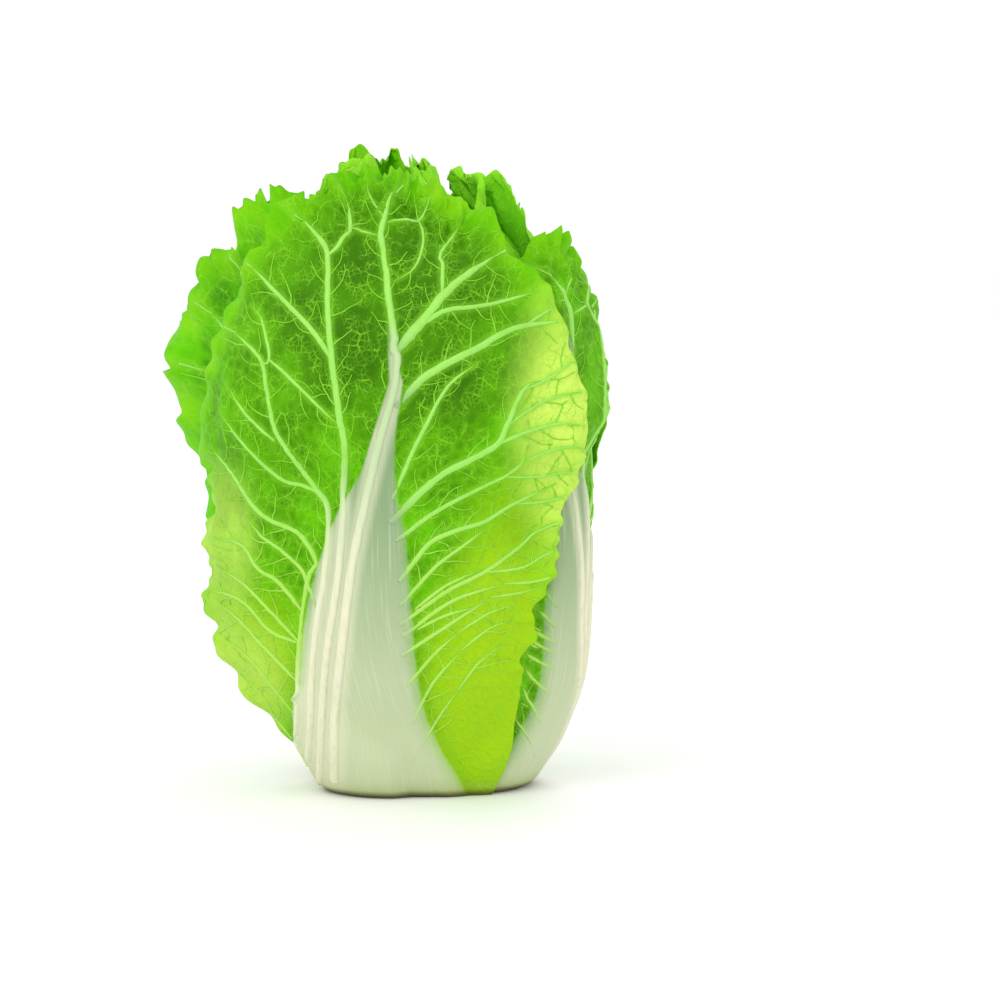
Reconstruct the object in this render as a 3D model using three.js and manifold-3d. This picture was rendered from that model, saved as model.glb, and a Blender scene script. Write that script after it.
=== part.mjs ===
// Napa cabbage: a barrel-shaped head that stands on its cut base. Five wrapper leaves, each a closed thin
// shell with a fleshy midrib, raised veins and a ruffled margin, lie over one another round a dense heart
// of young leaves, and the heart sits on the stem, a cone that rises inside it from the cut face.
// Millimetres, +Z up. The origin is the centre of the cut face, and the broad front leaf faces -Y.
import * as THREE from "three";
import { mergeVertices } from "three/addons/utils/BufferGeometryUtils.js";
import Module from "manifold-3d";

const wasm = await Module();
wasm.setup();

// ---- driving dimensions ----
const heartSide = [ // radius and height of the heart's side, from the cut face to the crown
  [34, 0], [40, 9], [51, 27], [66, 56], [75, 96], [76.5, 146], [73.5, 187],
  [65, 214], [51, 237], [32, 256], [13, 266], [0, 268],
];
const lean = 10; // how far the barrel's axis stands to -X of the cut face
const leanHeight = 90; // the lean is complete at this height
const depthShare = 0.92; // front-to-back size over left-to-right size
const wrapDepth = 14; // usual depth of the wrapper leaves over the heart
const bladeThickness = 1.2;
const layerGap = 0.9; // free space kept between one leaf and the next
const footRound = 5; // height over which a leaf's foot is rounded under
const footShare = 0.3; // share of its thickness that a leaf loses at the cut face
const trimHeights = [178, 238]; // a leaf's trim comes in between these heights
const heartFoot = 8; // the heart begins at this height, round the stem
const heartDip = 5; // the heart's core lies this far below the crown that its leaves' ends close
const stemSide = [[33.5, 0], [34.2, 4], [32.5, 12], [27, 28], [20, 46], [12, 60], [5, 69], [0, 72]];
const stemGap = 0.4;

// ---- small helpers ----
const degree = Math.PI / 180;
const clamp = (x, low, high) => Math.min(high, Math.max(low, x));
const mix = (a, b, t) => a + (b - a) * t;
const ease = (low, high, x) => {
  const t = clamp((x - low) / (high - low), 0, 1);
  return t * t * (3 - 2 * t);
};
// The value at x on straight pieces through [x, value] points.
function along(points, x) {
  let i = 1;
  while (i < points.length - 1 && x > points[i][0]) i += 1;
  const [x0, v0] = points[i - 1];
  const [x1, v1] = points[i];
  return mix(v0, v1, clamp((x - x0) / (x1 - x0), 0, 1));
}
// A repeatable number from 0 to 1 for a whole number and a seed.
function draw(n, seed) {
  const x = Math.sin(n * 127.1 + seed * 311.7) * 43758.5453;
  return x - Math.floor(x);
}
// Smooth repeatable noise from -1 to 1 along a line.
function drift(x, seed) {
  const n = Math.floor(x);
  return mix(draw(n, seed), draw(n + 1, seed), ease(0, 1, x - n)) * 2 - 1;
}

// ---- the head's own coordinates: turn about the axis, length up the side, height off the heart ----
const sideCurve = new THREE.SplineCurve(heartSide.map(([r, z]) => new THREE.Vector2(r, z)));
const sideSteps = 320;
const side = sideCurve.getSpacedPoints(sideSteps);
const sideLength = sideCurve.getLength();
// The way off the heart: level below the widest ring, square to the side above it.
const sideOut = side.map((p, i) => {
  const a = side[Math.max(0, i - 2)];
  const b = side[Math.min(sideSteps, i + 2)];
  return new THREE.Vector2(b.y - a.y, Math.max(0, a.x - b.x)).normalize();
});
function sideAt(s) {
  const place = clamp(s / sideLength, 0, 1) * sideSteps;
  const i = Math.min(sideSteps - 1, Math.floor(place));
  const foot = side[i].clone().lerp(side[i + 1], place - i);
  const out = sideOut[i].clone().lerp(sideOut[i + 1], place - i);
  return { r: foot.x, z: foot.y, outR: out.x, outZ: out.y };
}
const leanAt = (z) => -lean * ease(0, leanHeight, z);
function headPoint(turn, s, height) {
  const { r, z, outR, outZ } = sideAt(s);
  const radius = r + height * outR;
  const up = z + height * outZ;
  return [radius * Math.sin(turn * degree) + leanAt(up), -radius * Math.cos(turn * degree) * depthShare, up];
}
// Length up the side of a height on the wrapped head, and the turn of a place seen from the front there.
function sideSeen(z) {
  let i = 0;
  while (i < sideSteps && side[i].y + wrapDepth * sideOut[i].y < z) i += 1;
  return (i / sideSteps) * sideLength;
}
const wrappedRadius = (s) => sideAt(s).r + wrapDepth * sideAt(s).outR;
const turnSeen = (x, z) =>
  Math.asin(clamp((x - leanAt(z)) / wrappedRadius(sideSeen(z)), -0.999, 0.999)) / degree;

// ---- the pattern that every leaf follows, set out as the front leaf shows it from the front ----
const patternTurn = -10; // the turn of the front leaf's middle, in degrees
const frontReach = 0.92; // how far up the side the front leaf's tip comes
// By height: where the midrib lies and how far the blade reaches to each side, all in degrees of turn.
const midribTurn = [
  [0, -20], [22, -22], [36, -17], [52, -10.5], [80, -5], [100, -3], [129, 0], [145, 3], [161, 5],
  [180, 8], [192, 6.5], [236, 4.2], [270, 4],
];
const bladeLeft = [[0, 62], [24, 70], [58, 75], [100, 77], [150, 71], [185, 64], [270, 60]];
const bladeRight = [[0, 47], [24, 50], [67, 50], [115, 60], [170, 67], [213, 62], [270, 58]];
// By height: the midrib's half width and how far it stands off the blade, in millimetres.
const midribHalfWidth = [
  [0, 38], [22, 37], [36, 32], [52, 27.5], [80, 25], [100, 22], [119, 18], [136, 11.5], [145, 8],
  [161, 5.7], [180, 4.1], [195, 2], [262, 1.2],
];
const midribDepth = [
  [0, 8.5], [45, 8], [84, 6.5], [127, 4.8], [162, 3], [183, 2.2], [215, 1.4], [262, 0.4],
];
const shoulder = 0.56; // share of the leaf's length where its rounded end begins
const rowBias = 0.3; // how much closer a leaf's rows stand at its root and tip than halfway
const endSpan = 75; // from the tip round to where the straight side begins, for lengths round the margin
const lobeLength = 11;
const lobeSize = 3.2;
const ruffleLength = 24;
const ruffleWander = 37; // the ruffles run early and late over this length
const fullRuffleLift = 4; // a margin that stands off this far takes the whole ruffle
// Raised veins from root to tip: width at the root, then x and z of each bend.
const ribs = [
  [3.4, [-42, 10], [-39, 62], [-35, 96], [-32, 110], [-23, 148], [-14, 184], [-18, 202], [-21, 243],
    [-17, 255]],
  [2.8, [-47, 37], [-41, 96], [-37, 145], [-42, 188], [-44, 211], [-43, 232], [-34, 242], [-36, 254]],
  [2.4, [-53, 27], [-47, 91], [-45, 123], [-58, 140], [-63, 150], [-71, 186], [-83, 197]],
  [2.4, [-59, 26], [-52, 80], [-49, 100], [-58, 114], [-78, 128], [-93, 150]],
];
const branches = [
  [3.2, [-14, 184], [4, 214], [13, 222], [25, 230]],
  [2.0, [-43, 190], [-51, 200], [-64, 214], [-73, 223]],
  [2.4, [-9, 177], [2, 184], [15, 191], [28, 198], [54, 204]],
  [2.0, [-14, 137], [-8, 149], [9, 178], [19, 185]],
  [2.8, [-11, 125], [-3, 132], [27, 151], [31, 159], [38, 174]],
  [2.2, [-8, 116], [2, 123], [30, 137], [38, 147]],
  [2.2, [-8, 100], [-1, 109], [22, 118], [50, 133]],
  [2.0, [-5, 80], [7, 88], [22, 97], [50, 117]],
  [2.0, [-5, 55], [8, 66], [30, 80]],
  [2.0, [-55, 66], [-62, 88], [-78, 103], [-92, 112]],
];

// ---- the leaves, from the heart outwards ----
// turn: where the leaf's middle faces, in degrees. flip: -1 mirrors the pattern. reach: how far up the side
// the tip comes. wide: share of the pattern's width. lift: how far the free left margin, right margin and
// tip stand off what they lie on. flare: how far the left margin stands off besides, low down. trim: share of
// the width that is left at the top, to each side. clear: how far from a covering leaf's midline, with its
// margin at 1, the lift begins and is full. wave: size of the ruffles. cells: steps across and along.
const heartLeaves = [
  { turn: 20, flip: 1, reach: 0.99, wide: 0.7, lift: [2, 2, 3], wave: 3, seed: 15, cells: [9, 7] },
  { turn: 157, flip: -1, reach: 0.985, wide: 0.75, lift: [2, 2, 5], wave: 3.5, seed: 14, cells: [9, 7] },
  { turn: -65, flip: 1, reach: 0.955, wide: 0.8, lift: [5, 2, 9], wave: 4, seed: 13, cells: [9, 7] },
  { turn: 72, flip: -1, reach: 0.94, wide: 0.8, lift: [2, 3, 4], wave: 3, seed: 12, cells: [9, 7] },
  { turn: -150, flip: 1, reach: 0.955, wide: 0.85, lift: [2, 2, 6], wave: 4, seed: 11, cells: [9, 7] },
  { turn: 106, flip: -1, reach: 0.93, wide: 0.86, lift: [2, 3, 4], wave: 3, seed: 10, cells: [12, 8] },
  { turn: -34, flip: 1, reach: 0.945, wide: 0.86, lift: [8, 2, 12], wave: 4.5, seed: 9, cells: [12, 8] },
];
const heartLeafRoot = 0.62; // share of its length at which a heart leaf comes out of the core
const wrapperLeaves = [
  { name: "leaf_back", turn: -170, flip: -1, reach: 0.92, wide: 0.95, lift: [4, 4, 12], wave: 6, seed: 5,
    cells: [16, 17], veins: [] },
  { name: "leaf_left", turn: -58, flip: 1, reach: 0.84, wide: 0.76, lift: [19, 3, 18], trim: [1.3, 1],
    clear: [1.12, 1.5], wave: 5, seed: 4, cells: [17, 18], veins: ribs.slice(0, 2) },
  { name: "leaf_right", turn: 62, flip: -1, reach: 0.79, wide: 1, lift: [0, 2, 1], wave: 4, seed: 3,
    cells: [17, 18], veins: ribs.slice(0, 3) },
  { name: "leaf_back_right", turn: 160, flip: -1, reach: 0.87, wide: 0.76, lift: [2, 3, 3], wave: 3, seed: 2,
    cells: [16, 18], veins: ribs.slice(0, 2) },
  { name: "leaf_front", turn: patternTurn, flip: 1, reach: frontReach, wide: 1, lift: [2, 1, 4], flare: 5,
    trim: [0.95, 1.12], wave: 4.5, seed: 1, cells: [23, 25], veins: [...ribs, ...branches] },
];

// ---- a leaf's own coordinates: -1 to 1 across it and 0 to 1 along it ----
function halfWidth(leaf, across, z) {
  const trim = (leaf.trim ?? [1, 1])[across < 0 ? 0 : 1];
  const full = along(across * leaf.flip < 0 ? bladeLeft : bladeRight, z) * leaf.wide;
  return full * mix(1, trim, ease(...trimHeights, z));
}
const leafTurn = (leaf, across, s) => leaf.turn + across * halfWidth(leaf, across, sideAt(s).z);
function leafAcross(leaf, turn, s) {
  const off = turn - leaf.turn - Math.round((turn - leaf.turn) / 360) * 360;
  return off / halfWidth(leaf, off, sideAt(s).z);
}
const leafLength = (leaf, s) => s / (leaf.reach * sideLength);
// How near a place is to the margin: 0 on the midline, 1 on the margin.
function nearMargin(across, length) {
  return Math.hypot(across, Math.max(0, (length - shoulder) / (1 - shoulder)));
}
// Length round the margin from the leaf's tip, in millimetres, negative to the left.
function marginLength(leaf, across, length) {
  const end = (length - shoulder) / (1 - shoulder);
  if (end >= 0) return Math.atan2(across, end) * endSpan;
  return Math.sign(across) * ((Math.PI / 2) * endSpan + (shoulder - length) * leaf.reach * sideLength);
}
// 1 where nothing lies over the leaf, falling to 0 under the leaves that lie outside it.
function uncovered(leaf, turn, s) {
  const [underMargin, clearOfMargin] = leaf.clear ?? [1.04, 1.3];
  return leaf.covers.reduce((share, cover) => {
    const near = nearMargin(leafAcross(cover, turn, s), leafLength(cover, s));
    return share * ease(underMargin, clearOfMargin, near);
  }, 1);
}

// ---- what is already in place, as height over the heart's side on a grid of turn and side length ----
const turnCells = 240;
const sideCells = 120;
const wrapTurn = (i) => ((i % turnCells) + turnCells) % turnCells;
const clampSide = (j) => clamp(j, 0, sideCells - 1);
const makeGrid = (value) => Array.from({ length: turnCells }, (_, i) =>
  Float64Array.from({ length: sideCells }, (__, j) => value(i, j)));
// Each value combined with its neighbours, round the head and then up it.
function filtered(grid, turnReach, sideReach, combine) {
  const span = (reach) => Array.from({ length: 2 * reach + 1 }, (_, k) => k - reach);
  const round = makeGrid((i, j) => combine(span(turnReach).map((k) => grid[wrapTurn(i + k)][j])));
  return makeGrid((i, j) => combine(span(sideReach).map((k) => round[i][clampSide(j + k)])));
}
const mean = (values) => values.reduce((a, b) => a + b, 0) / values.length;
// The smoothed surface that a leaf lies on, bridging hollows narrower than its own cells.
function supportFor(leaf, grid) {
  const blur = 2;
  const cellTurn = (halfWidth(leaf, -1, 100) + halfWidth(leaf, 1, 100)) / leaf.cells[0];
  const cellSide = (leaf.reach * sideLength * (1 + rowBias)) / leaf.cells[1];
  const turnReach = Math.ceil(cellTurn / (360 / turnCells)) + blur;
  const sideReach = Math.ceil(cellSide / (sideLength / sideCells)) + blur;
  const bridged = filtered(grid, turnReach, sideReach, (values) => Math.max(...values));
  return filtered(bridged, blur, blur, mean);
}
function heightAt(grid, turn, s) {
  const x = ((turn + 540) / 360) * turnCells;
  const y = clamp((s / sideLength) * (sideCells - 1), 0, sideCells - 1.001);
  const [i, j] = [Math.floor(x), Math.floor(y)];
  const [a, b] = [grid[wrapTurn(i)], grid[wrapTurn(i + 1)]];
  return mix(mix(a[j], b[j], x - i), mix(a[j + 1], b[j + 1], x - i), y - j);
}

// ---- one leaf ----
// Heights of the leaf's inner and outer face over the heart's side.
function leafHeights(leaf, turn, s) {
  const across = leafAcross(leaf, turn, s);
  const length = leafLength(leaf, s);
  const near = nearMargin(across, length);
  const { r, z } = sideAt(s);
  const tipShare = clamp((length - shoulder) / (1 - shoulder), 0, 1);
  const flare = across < 0 ? leaf.flare ?? 0 : 0;
  const lowFlare = flare * ease(0.04, 0.16, length) * (1 - ease(0.28, 0.5, length));
  const sideLift = leaf.lift[across < 0 ? 0 : 1] * ease(0.12, 0.5, length) + lowFlare;
  const lift = mix(sideLift, leaf.lift[2], ease(0.25, 0.8, tipShare)) * uncovered(leaf, turn, s);
  const margin = marginLength(leaf, across, length);
  const wander = 2.2 * drift(margin / ruffleWander, leaf.seed);
  const ruffle = 0.5 + 0.5 * Math.sin((margin / ruffleLength) * 2 * Math.PI + wander);
  const wave = leaf.wave * clamp(lift / fullRuffleLift, 0, 1) * ruffle * ease(0.72, 1, near);
  const inner = heightAt(leaf.support, turn, s) + layerGap + lift * ease(0.7, 1.05, near) ** 1.5 + wave;
  const patternOff = across * halfWidth(leaf, across, z) * leaf.flip;
  const fromMidrib = ((patternOff - along(midribTurn, z) * leaf.wide) * degree * (r + inner))
    / along(midribHalfWidth, z);
  const midrib = along(midribDepth, z) * Math.max(0, 1 - fromMidrib ** 4);
  const foot = 1 - footShare * (1 - clamp(z / footRound, 0, 1)) ** 2;
  const outer = inner + (bladeThickness + midrib) * foot;
  return { inner: leaf.fused ? mix(coreHeight(s) - fusedDepth, inner, ease(0.7, 0.9, near)) : inner, outer };
}

// Height of the heart's core, which dips under its leaves' ends.
const [dipStart, dipEnd] = [165, 205]; // lengths up the side over which the dip comes in
const coreHeight = (s) => -heartDip * ease(dipStart, dipEnd, s);
const fusedDepth = 2.5; // how deep the middle of a heart leaf reaches into the core

function solid(points, faces) {
  return new wasm.Manifold(new wasm.Mesh({
    numProp: 3,
    vertProperties: Float32Array.from(points.flat()),
    triVerts: Uint32Array.from(faces.flat()),
  }));
}

// The leaf's closed shell, with its two faces split into triangles alike, and the same sheet as triangles
// of [turn, side length, outer height].
function leafShell(leaf, root = 0) {
  const [columns, rows] = leaf.cells;
  const leastRadius = 30; // keeps the lobes in measure where the side runs in to the axis
  const places = [];
  for (let j = 0; j <= rows; j += 1) {
    for (let i = 0; i <= columns; i += 1) {
      const u = (i / columns) * 2 - 1;
      const t = j / rows;
      const v = mix(root, 1, t - (rowBias * Math.sin(2 * Math.PI * t)) / (2 * Math.PI));
      const end = Math.max(0, (v - shoulder) / (1 - shoulder));
      const across = u * Math.sqrt(1 - (end * end) / 2);
      const length = end > 0 ? shoulder + (1 - shoulder) * end * Math.sqrt(1 - (u * u) / 2) : v;
      const margin = marginLength(leaf, across, length);
      const atMargin = ease(0.75, 1, nearMargin(across, length)) * ease(0.08, 0.3, length);
      const lobe = lobeSize * drift(margin / lobeLength, leaf.seed + 50) * atMargin;
      const s = length * leaf.reach * sideLength;
      const spread = (lobe * across) / Math.max(leastRadius, sideAt(s).r) / degree;
      places.push([leafTurn(leaf, across, s) + spread, s + lobe * end]);
    }
  }
  const heights = places.map(([turn, s]) => leafHeights(leaf, turn, s));
  const inner = places.map(([turn, s], n) => headPoint(turn, s, heights[n].inner));
  const outer = places.map(([turn, s], n) => headPoint(turn, s, heights[n].outer));
  const count = places.length;
  const at = (i, j) => j * (columns + 1) + i;
  const faces = [];
  const sheet = [];
  const addBoth = (...corners) => {
    const [a, b, c] = corners;
    faces.push([a, c, b], [a + count, b + count, c + count]);
    sheet.push(corners.map((n) => [...places[n], heights[n].outer]));
  };
  for (let j = 0; j < rows; j += 1) {
    for (let i = 0; i < columns; i += 1) {
      const [a, b, c, d] = [at(i, j), at(i + 1, j), at(i + 1, j + 1), at(i, j + 1)];
      if (i < columns / 2) {
        addBoth(a, b, d);
        addBoth(b, c, d);
      } else {
        addBoth(a, b, c);
        addBoth(a, c, d);
      }
    }
  }
  const margin = [];
  for (let i = 0; i < columns; i += 1) margin.push(at(i, 0));
  for (let j = 0; j < rows; j += 1) margin.push(at(columns, j));
  for (let i = columns; i > 0; i -= 1) margin.push(at(i, rows));
  for (let j = rows; j > 0; j -= 1) margin.push(at(0, j));
  margin.forEach((a, n) => {
    const b = margin[(n + 1) % margin.length];
    faces.push([a, b, b + count], [a, b + count, a + count]);
  });
  return { body: solid([...inner, ...outer], faces), sheet };
}

// The share of each corner at a place on a triangle of a sheet, or null off it.
function cornerShares([[ax, ay], [bx, by], [cx, cy]], x, y) {
  const area = (bx - ax) * (cy - ay) - (cx - ax) * (by - ay);
  const b = ((x - ax) * (cy - ay) - (cx - ax) * (y - ay)) / area;
  const c = ((bx - ax) * (y - ay) - (x - ax) * (by - ay)) / area;
  return Math.min(b, c, 1 - b - c) > -1e-6 ? [1 - b - c, b, c] : null;
}
const shared = (shares, corners) => corners.reduce((sum, corner, n) => sum + shares[n] * corner[2], 0);
function sheetHeight(sheet, turn, s) {
  for (const corners of sheet) {
    const shares = cornerShares(corners, turn, s);
    if (shares) return shared(shares, corners);
  }
  return NaN;
}

// A raised vein's stations: places along it, no further apart than the step.
function veinStations(leaf, path) {
  const step = 10;
  const bends = path.map(([x, z]) => [
    leaf.turn + (turnSeen(x, z) - patternTurn) * leaf.flip * leaf.wide,
    (sideSeen(z) * leaf.reach) / frontReach,
  ]);
  const between = bends.slice(1).flatMap(([turn, s], n) => {
    const [turn0, s0] = bends[n];
    const steps = Math.ceil(Math.hypot((turn - turn0) * degree * wrappedRadius(s), s - s0) / step);
    const shares = Array.from({ length: steps }, (_, k) => (k + 1) / steps);
    return shares.map((share) => [mix(turn0, turn, share), mix(s0, s, share)]);
  });
  return [bends[0], ...between];
}

// Stretches of the vein that no other leaf covers and that keep off the margin.
function openStretches(leaf, stations) {
  const [nearest, leastUncovered] = [0.93, 0.02];
  const stretches = [[]];
  for (const [turn, s] of stations) {
    const near = nearMargin(leafAcross(leaf, turn, s), leafLength(leaf, s));
    if (near < nearest && uncovered(leaf, turn, s) > leastUncovered) stretches.at(-1).push([turn, s]);
    else if (stretches.at(-1).length > 0) stretches.push([]);
  }
  return stretches.filter((stretch) => stretch.length > 1);
}

// A raised vein along a stretch: a tapered four-sided bar, half sunk in the leaf's outer face.
function veinBar(sheet, width, stretch) {
  const sink = 0.95;
  const seam = 0.45;
  const endRise = -0.2; // a vein's two ends run down into the blade
  const taper = 0.55;
  const points = stretch.flatMap(([turn, s], n) => {
    const before = stretch[Math.max(0, n - 1)];
    const after = stretch[Math.min(stretch.length - 1, n + 1)];
    const radius = wrappedRadius(s);
    const run = new THREE.Vector2((after[0] - before[0]) * degree * radius, after[1] - before[1]).normalize();
    const half = (width / 2) * (1 - (taper * n) / (stretch.length - 1));
    const [turnOff, sideOff] = [(run.y * half) / radius / degree, -run.x * half];
    const rise = n === 0 || n === stretch.length - 1 ? endRise : half;
    return [
      [turn - turnOff, s - sideOff, -seam],
      [turn, s, rise],
      [turn + turnOff, s + sideOff, -seam],
      [turn, s, -sink],
    ].map(([a, b, off]) => headPoint(a, b, sheetHeight(sheet, a, b) + off));
  });
  const last = points.length - 4;
  const faces = [[0, 1, 2], [0, 2, 3], [last, last + 2, last + 1], [last, last + 3, last + 2]];
  for (let n = 0; n < last; n += 4) {
    for (let k = 0; k < 4; k += 1) {
      const [a, b] = [n + k, n + ((k + 1) % 4)];
      faces.push([a, a + 4, b + 4], [a, b + 4, b]);
    }
  }
  const bar = solid(points, faces);
  return bar.volume() > 0 ? bar : solid(points, faces.map(([a, b, c]) => [a, c, b]));
}

// Raises the grid to the outer face of a sheet laid on the head.
function cover(grid, sheet) {
  for (const triangle of sheet) {
    const corners = triangle.map(([turn, s, height]) =>
      [((turn + 540) / 360) * turnCells, (s / sideLength) * (sideCells - 1), height]);
    const [xs, ys] = [corners.map(([x]) => x), corners.map(([, y]) => y)];
    for (let i = Math.ceil(Math.min(...xs)); i <= Math.max(...xs); i += 1) {
      for (let j = Math.ceil(Math.min(...ys)); j <= Math.min(sideCells - 1, Math.max(...ys)); j += 1) {
        const shares = cornerShares(corners, i, j);
        const column = grid[wrapTurn(i)];
        if (shares) column[j] = Math.max(column[j], shared(shares, corners));
      }
    }
  }
}

// ---- solids of revolution about the head's own axis ----
function turned(profile, segments) {
  const lathe = new THREE.LatheGeometry(profile.map(([r, z]) => new THREE.Vector2(r, z)), segments);
  lathe.deleteAttribute("normal");
  lathe.deleteAttribute("uv");
  const merged = mergeVertices(lathe, 1e-4);
  const position = merged.getAttribute("position");
  const points = Array.from({ length: position.count }, (_, n) => {
    const up = position.getY(n); // three.js turns a lathe about Y
    return [position.getX(n) + leanAt(up), -position.getZ(n) * depthShare, up];
  });
  const index = Array.from(merged.index.array);
  const faces = [];
  for (let n = 0; n < index.length; n += 3) {
    const [a, b, c] = index.slice(n, n + 3);
    if (a !== b && b !== c && c !== a) faces.push([a, b, c]);
  }
  const body = solid(points, faces);
  return body.volume() > 0 ? body : solid(points, faces.map(([a, b, c]) => [a, c, b]));
}

// ---- the heart: a core hollowed for the stem, with its young leaves' ends fused to it ----
const coreRows = 14;
const roundSegments = 24;
function heartCore() {
  const inside = stemSide.filter(([, z]) => z > heartFoot);
  const socket = inside.map(([r, z]) => [r > 0 ? r + stemGap : 0, z + stemGap]);
  const skin = Array.from({ length: coreRows + 1 }, (_, n) => {
    const { r, z, outR, outZ } = sideAt(mix(sideSeen(heartFoot), sideLength, n / coreRows));
    const height = coreHeight(mix(sideSeen(heartFoot), sideLength, n / coreRows));
    return [n < coreRows ? r + height * outR : 0, z + height * outZ];
  });
  return turned([...socket.reverse(), [stemSide[1][0] + stemGap, heartFoot], ...skin], roundSegments);
}

// Each leaf knows the surface under it and the leaves that lie outside it.
const depth = makeGrid((i, j) => coreHeight((j / (sideCells - 1)) * sideLength));
let heart = heartCore();
heartLeaves.forEach((leaf, n) => {
  Object.assign(leaf, { covers: [...heartLeaves.slice(n + 1), ...wrapperLeaves], fused: true });
  leaf.support = supportFor(leaf, depth);
  const { body, sheet } = leafShell(leaf, heartLeafRoot);
  heart = heart.add(body);
  cover(depth, sheet);
});

// ---- the assembly ----
// The triangles of the largest shell: a join can leave specks where two faces all but coincide.
function largestShell(triangles, pointCount) {
  const owner = Array.from({ length: pointCount }, (_, n) => n);
  const find = (n) => {
    let at = n;
    while (owner[at] !== at) at = owner[at];
    owner[n] = at;
    return at;
  };
  for (let n = 0; n < triangles.length; n += 3) {
    owner[find(triangles[n])] = find(triangles[n + 1]);
    owner[find(triangles[n + 1])] = find(triangles[n + 2]);
  }
  const sizes = new Map();
  for (const n of triangles) sizes.set(find(n), (sizes.get(find(n)) ?? 0) + 1);
  const [largest] = [...sizes.entries()].sort((a, b) => b[1] - a[1])[0];
  return Array.from(triangles).filter((n) => find(n) === largest);
}

function meshOf(name, body, color, roughness) {
  const { vertProperties, triVerts } = body.getMesh();
  const geometry = new THREE.BufferGeometry();
  geometry.setAttribute("position", new THREE.BufferAttribute(vertProperties, 3));
  geometry.setIndex(largestShell(triVerts, vertProperties.length / 3));
  geometry.computeVertexNormals();
  const mesh = new THREE.Mesh(geometry, new THREE.MeshStandardMaterial({ color, roughness, metalness: 0 }));
  mesh.name = name;
  return mesh;
}

const cabbage = new THREE.Group();
cabbage.add(meshOf("stem", turned([[0, 0], ...stemSide], roundSegments), 0xe9ecca, 0.6));
cabbage.add(meshOf("heart", heart, 0xc9e07a, 0.55));
wrapperLeaves.forEach((leaf, n) => {
  leaf.covers = wrapperLeaves.slice(n + 1);
  leaf.support = supportFor(leaf, depth);
  const { body, sheet } = leafShell(leaf);
  const bars = leaf.veins.flatMap(([width, ...path]) =>
    openStretches(leaf, veinStations(leaf, path)).map((stretch) => veinBar(sheet, width, stretch)));
  cabbage.add(meshOf(leaf.name, bars.reduce((joined, bar) => joined.add(bar), body), 0x6cb81e, 0.5));
  cover(depth, sheet);
});

export default cabbage;
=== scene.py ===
# A napa cabbage standing on its cut base. Every leaf is a fine closed shell that lies on the leaves inside
# it, with ribs, veins, wrinkles and a frilled margin of its own. Lengths are in millimetres until a mesh is
# made, turns are in degrees about the head's axis, and a side length runs up the heart from the cut face.
import math

import bmesh
import bpy
import numpy as np
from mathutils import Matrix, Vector


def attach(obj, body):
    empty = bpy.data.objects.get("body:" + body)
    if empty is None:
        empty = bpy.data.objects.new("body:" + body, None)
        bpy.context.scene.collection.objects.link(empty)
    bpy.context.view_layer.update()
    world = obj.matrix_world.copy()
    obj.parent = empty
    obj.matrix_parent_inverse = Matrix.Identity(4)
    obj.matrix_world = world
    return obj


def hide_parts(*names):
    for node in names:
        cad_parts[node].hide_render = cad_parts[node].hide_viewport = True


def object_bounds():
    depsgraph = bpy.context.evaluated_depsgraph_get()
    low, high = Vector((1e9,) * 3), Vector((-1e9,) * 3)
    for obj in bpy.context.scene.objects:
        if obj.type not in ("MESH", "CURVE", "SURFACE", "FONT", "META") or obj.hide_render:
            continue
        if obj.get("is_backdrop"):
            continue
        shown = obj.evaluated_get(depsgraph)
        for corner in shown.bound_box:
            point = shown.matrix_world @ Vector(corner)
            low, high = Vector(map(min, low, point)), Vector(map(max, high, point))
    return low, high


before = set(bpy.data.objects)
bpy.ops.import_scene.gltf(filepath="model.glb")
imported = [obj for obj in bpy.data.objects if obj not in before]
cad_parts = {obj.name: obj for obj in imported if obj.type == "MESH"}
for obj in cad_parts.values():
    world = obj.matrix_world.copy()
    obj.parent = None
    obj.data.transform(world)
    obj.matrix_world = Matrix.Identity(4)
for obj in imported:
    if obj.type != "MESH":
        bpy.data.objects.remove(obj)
cadBox = [list(corner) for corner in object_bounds()]
print("frame loaded")

millimetre = 0.001
degree = math.pi / 180


# plain maths on arrays
def mix(first, second, share):
    return first + (second - first) * share


def ease(low, high, value):
    share = np.clip((value - low) / (high - low), 0, 1)
    return share * share * (3 - 2 * share)


def along(points, value):
    places, values = zip(*points)
    return np.interp(value, places, values)


def draw(number, seed):
    share = np.sin(number * 127.1 + seed * 311.7) * 43758.5453
    return share - np.floor(share)


def drift(value, seed):
    # smooth noise from -1 to 1 along a line
    whole = np.floor(value)
    return mix(draw(whole, seed), draw(whole + 1, seed), ease(0, 1, value - whole)) * 2 - 1


def cloud(x, y, seed):
    # smooth noise from -1 to 1 over a plane
    left, low = np.floor(x), np.floor(y)
    corner = lambda i, j: draw(left + i + 57 * (low + j), seed)
    across, up = ease(0, 1, x - left), ease(0, 1, y - low)
    return mix(mix(corner(0, 0), corner(1, 0), across), mix(corner(0, 1), corner(1, 1), across), up) * 2 - 1


def blisters(x, y, seed):
    # 0 on the borders of irregular cells one unit wide, rising to about 1 at their middles
    left, low = np.floor(x), np.floor(y)
    nearest = np.full(x.shape, 9.0)
    second = np.full(x.shape, 9.0)
    for i in (-1, 0, 1):
        for j in (-1, 0, 1):
            cell = left + i + 57 * (low + j)
            gap = np.hypot(left + i + draw(cell, seed) - x, low + j + draw(cell, seed + 7) - y)
            second = np.minimum(second, np.maximum(gap, nearest))
            nearest = np.minimum(nearest, gap)
    return second - nearest


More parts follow.
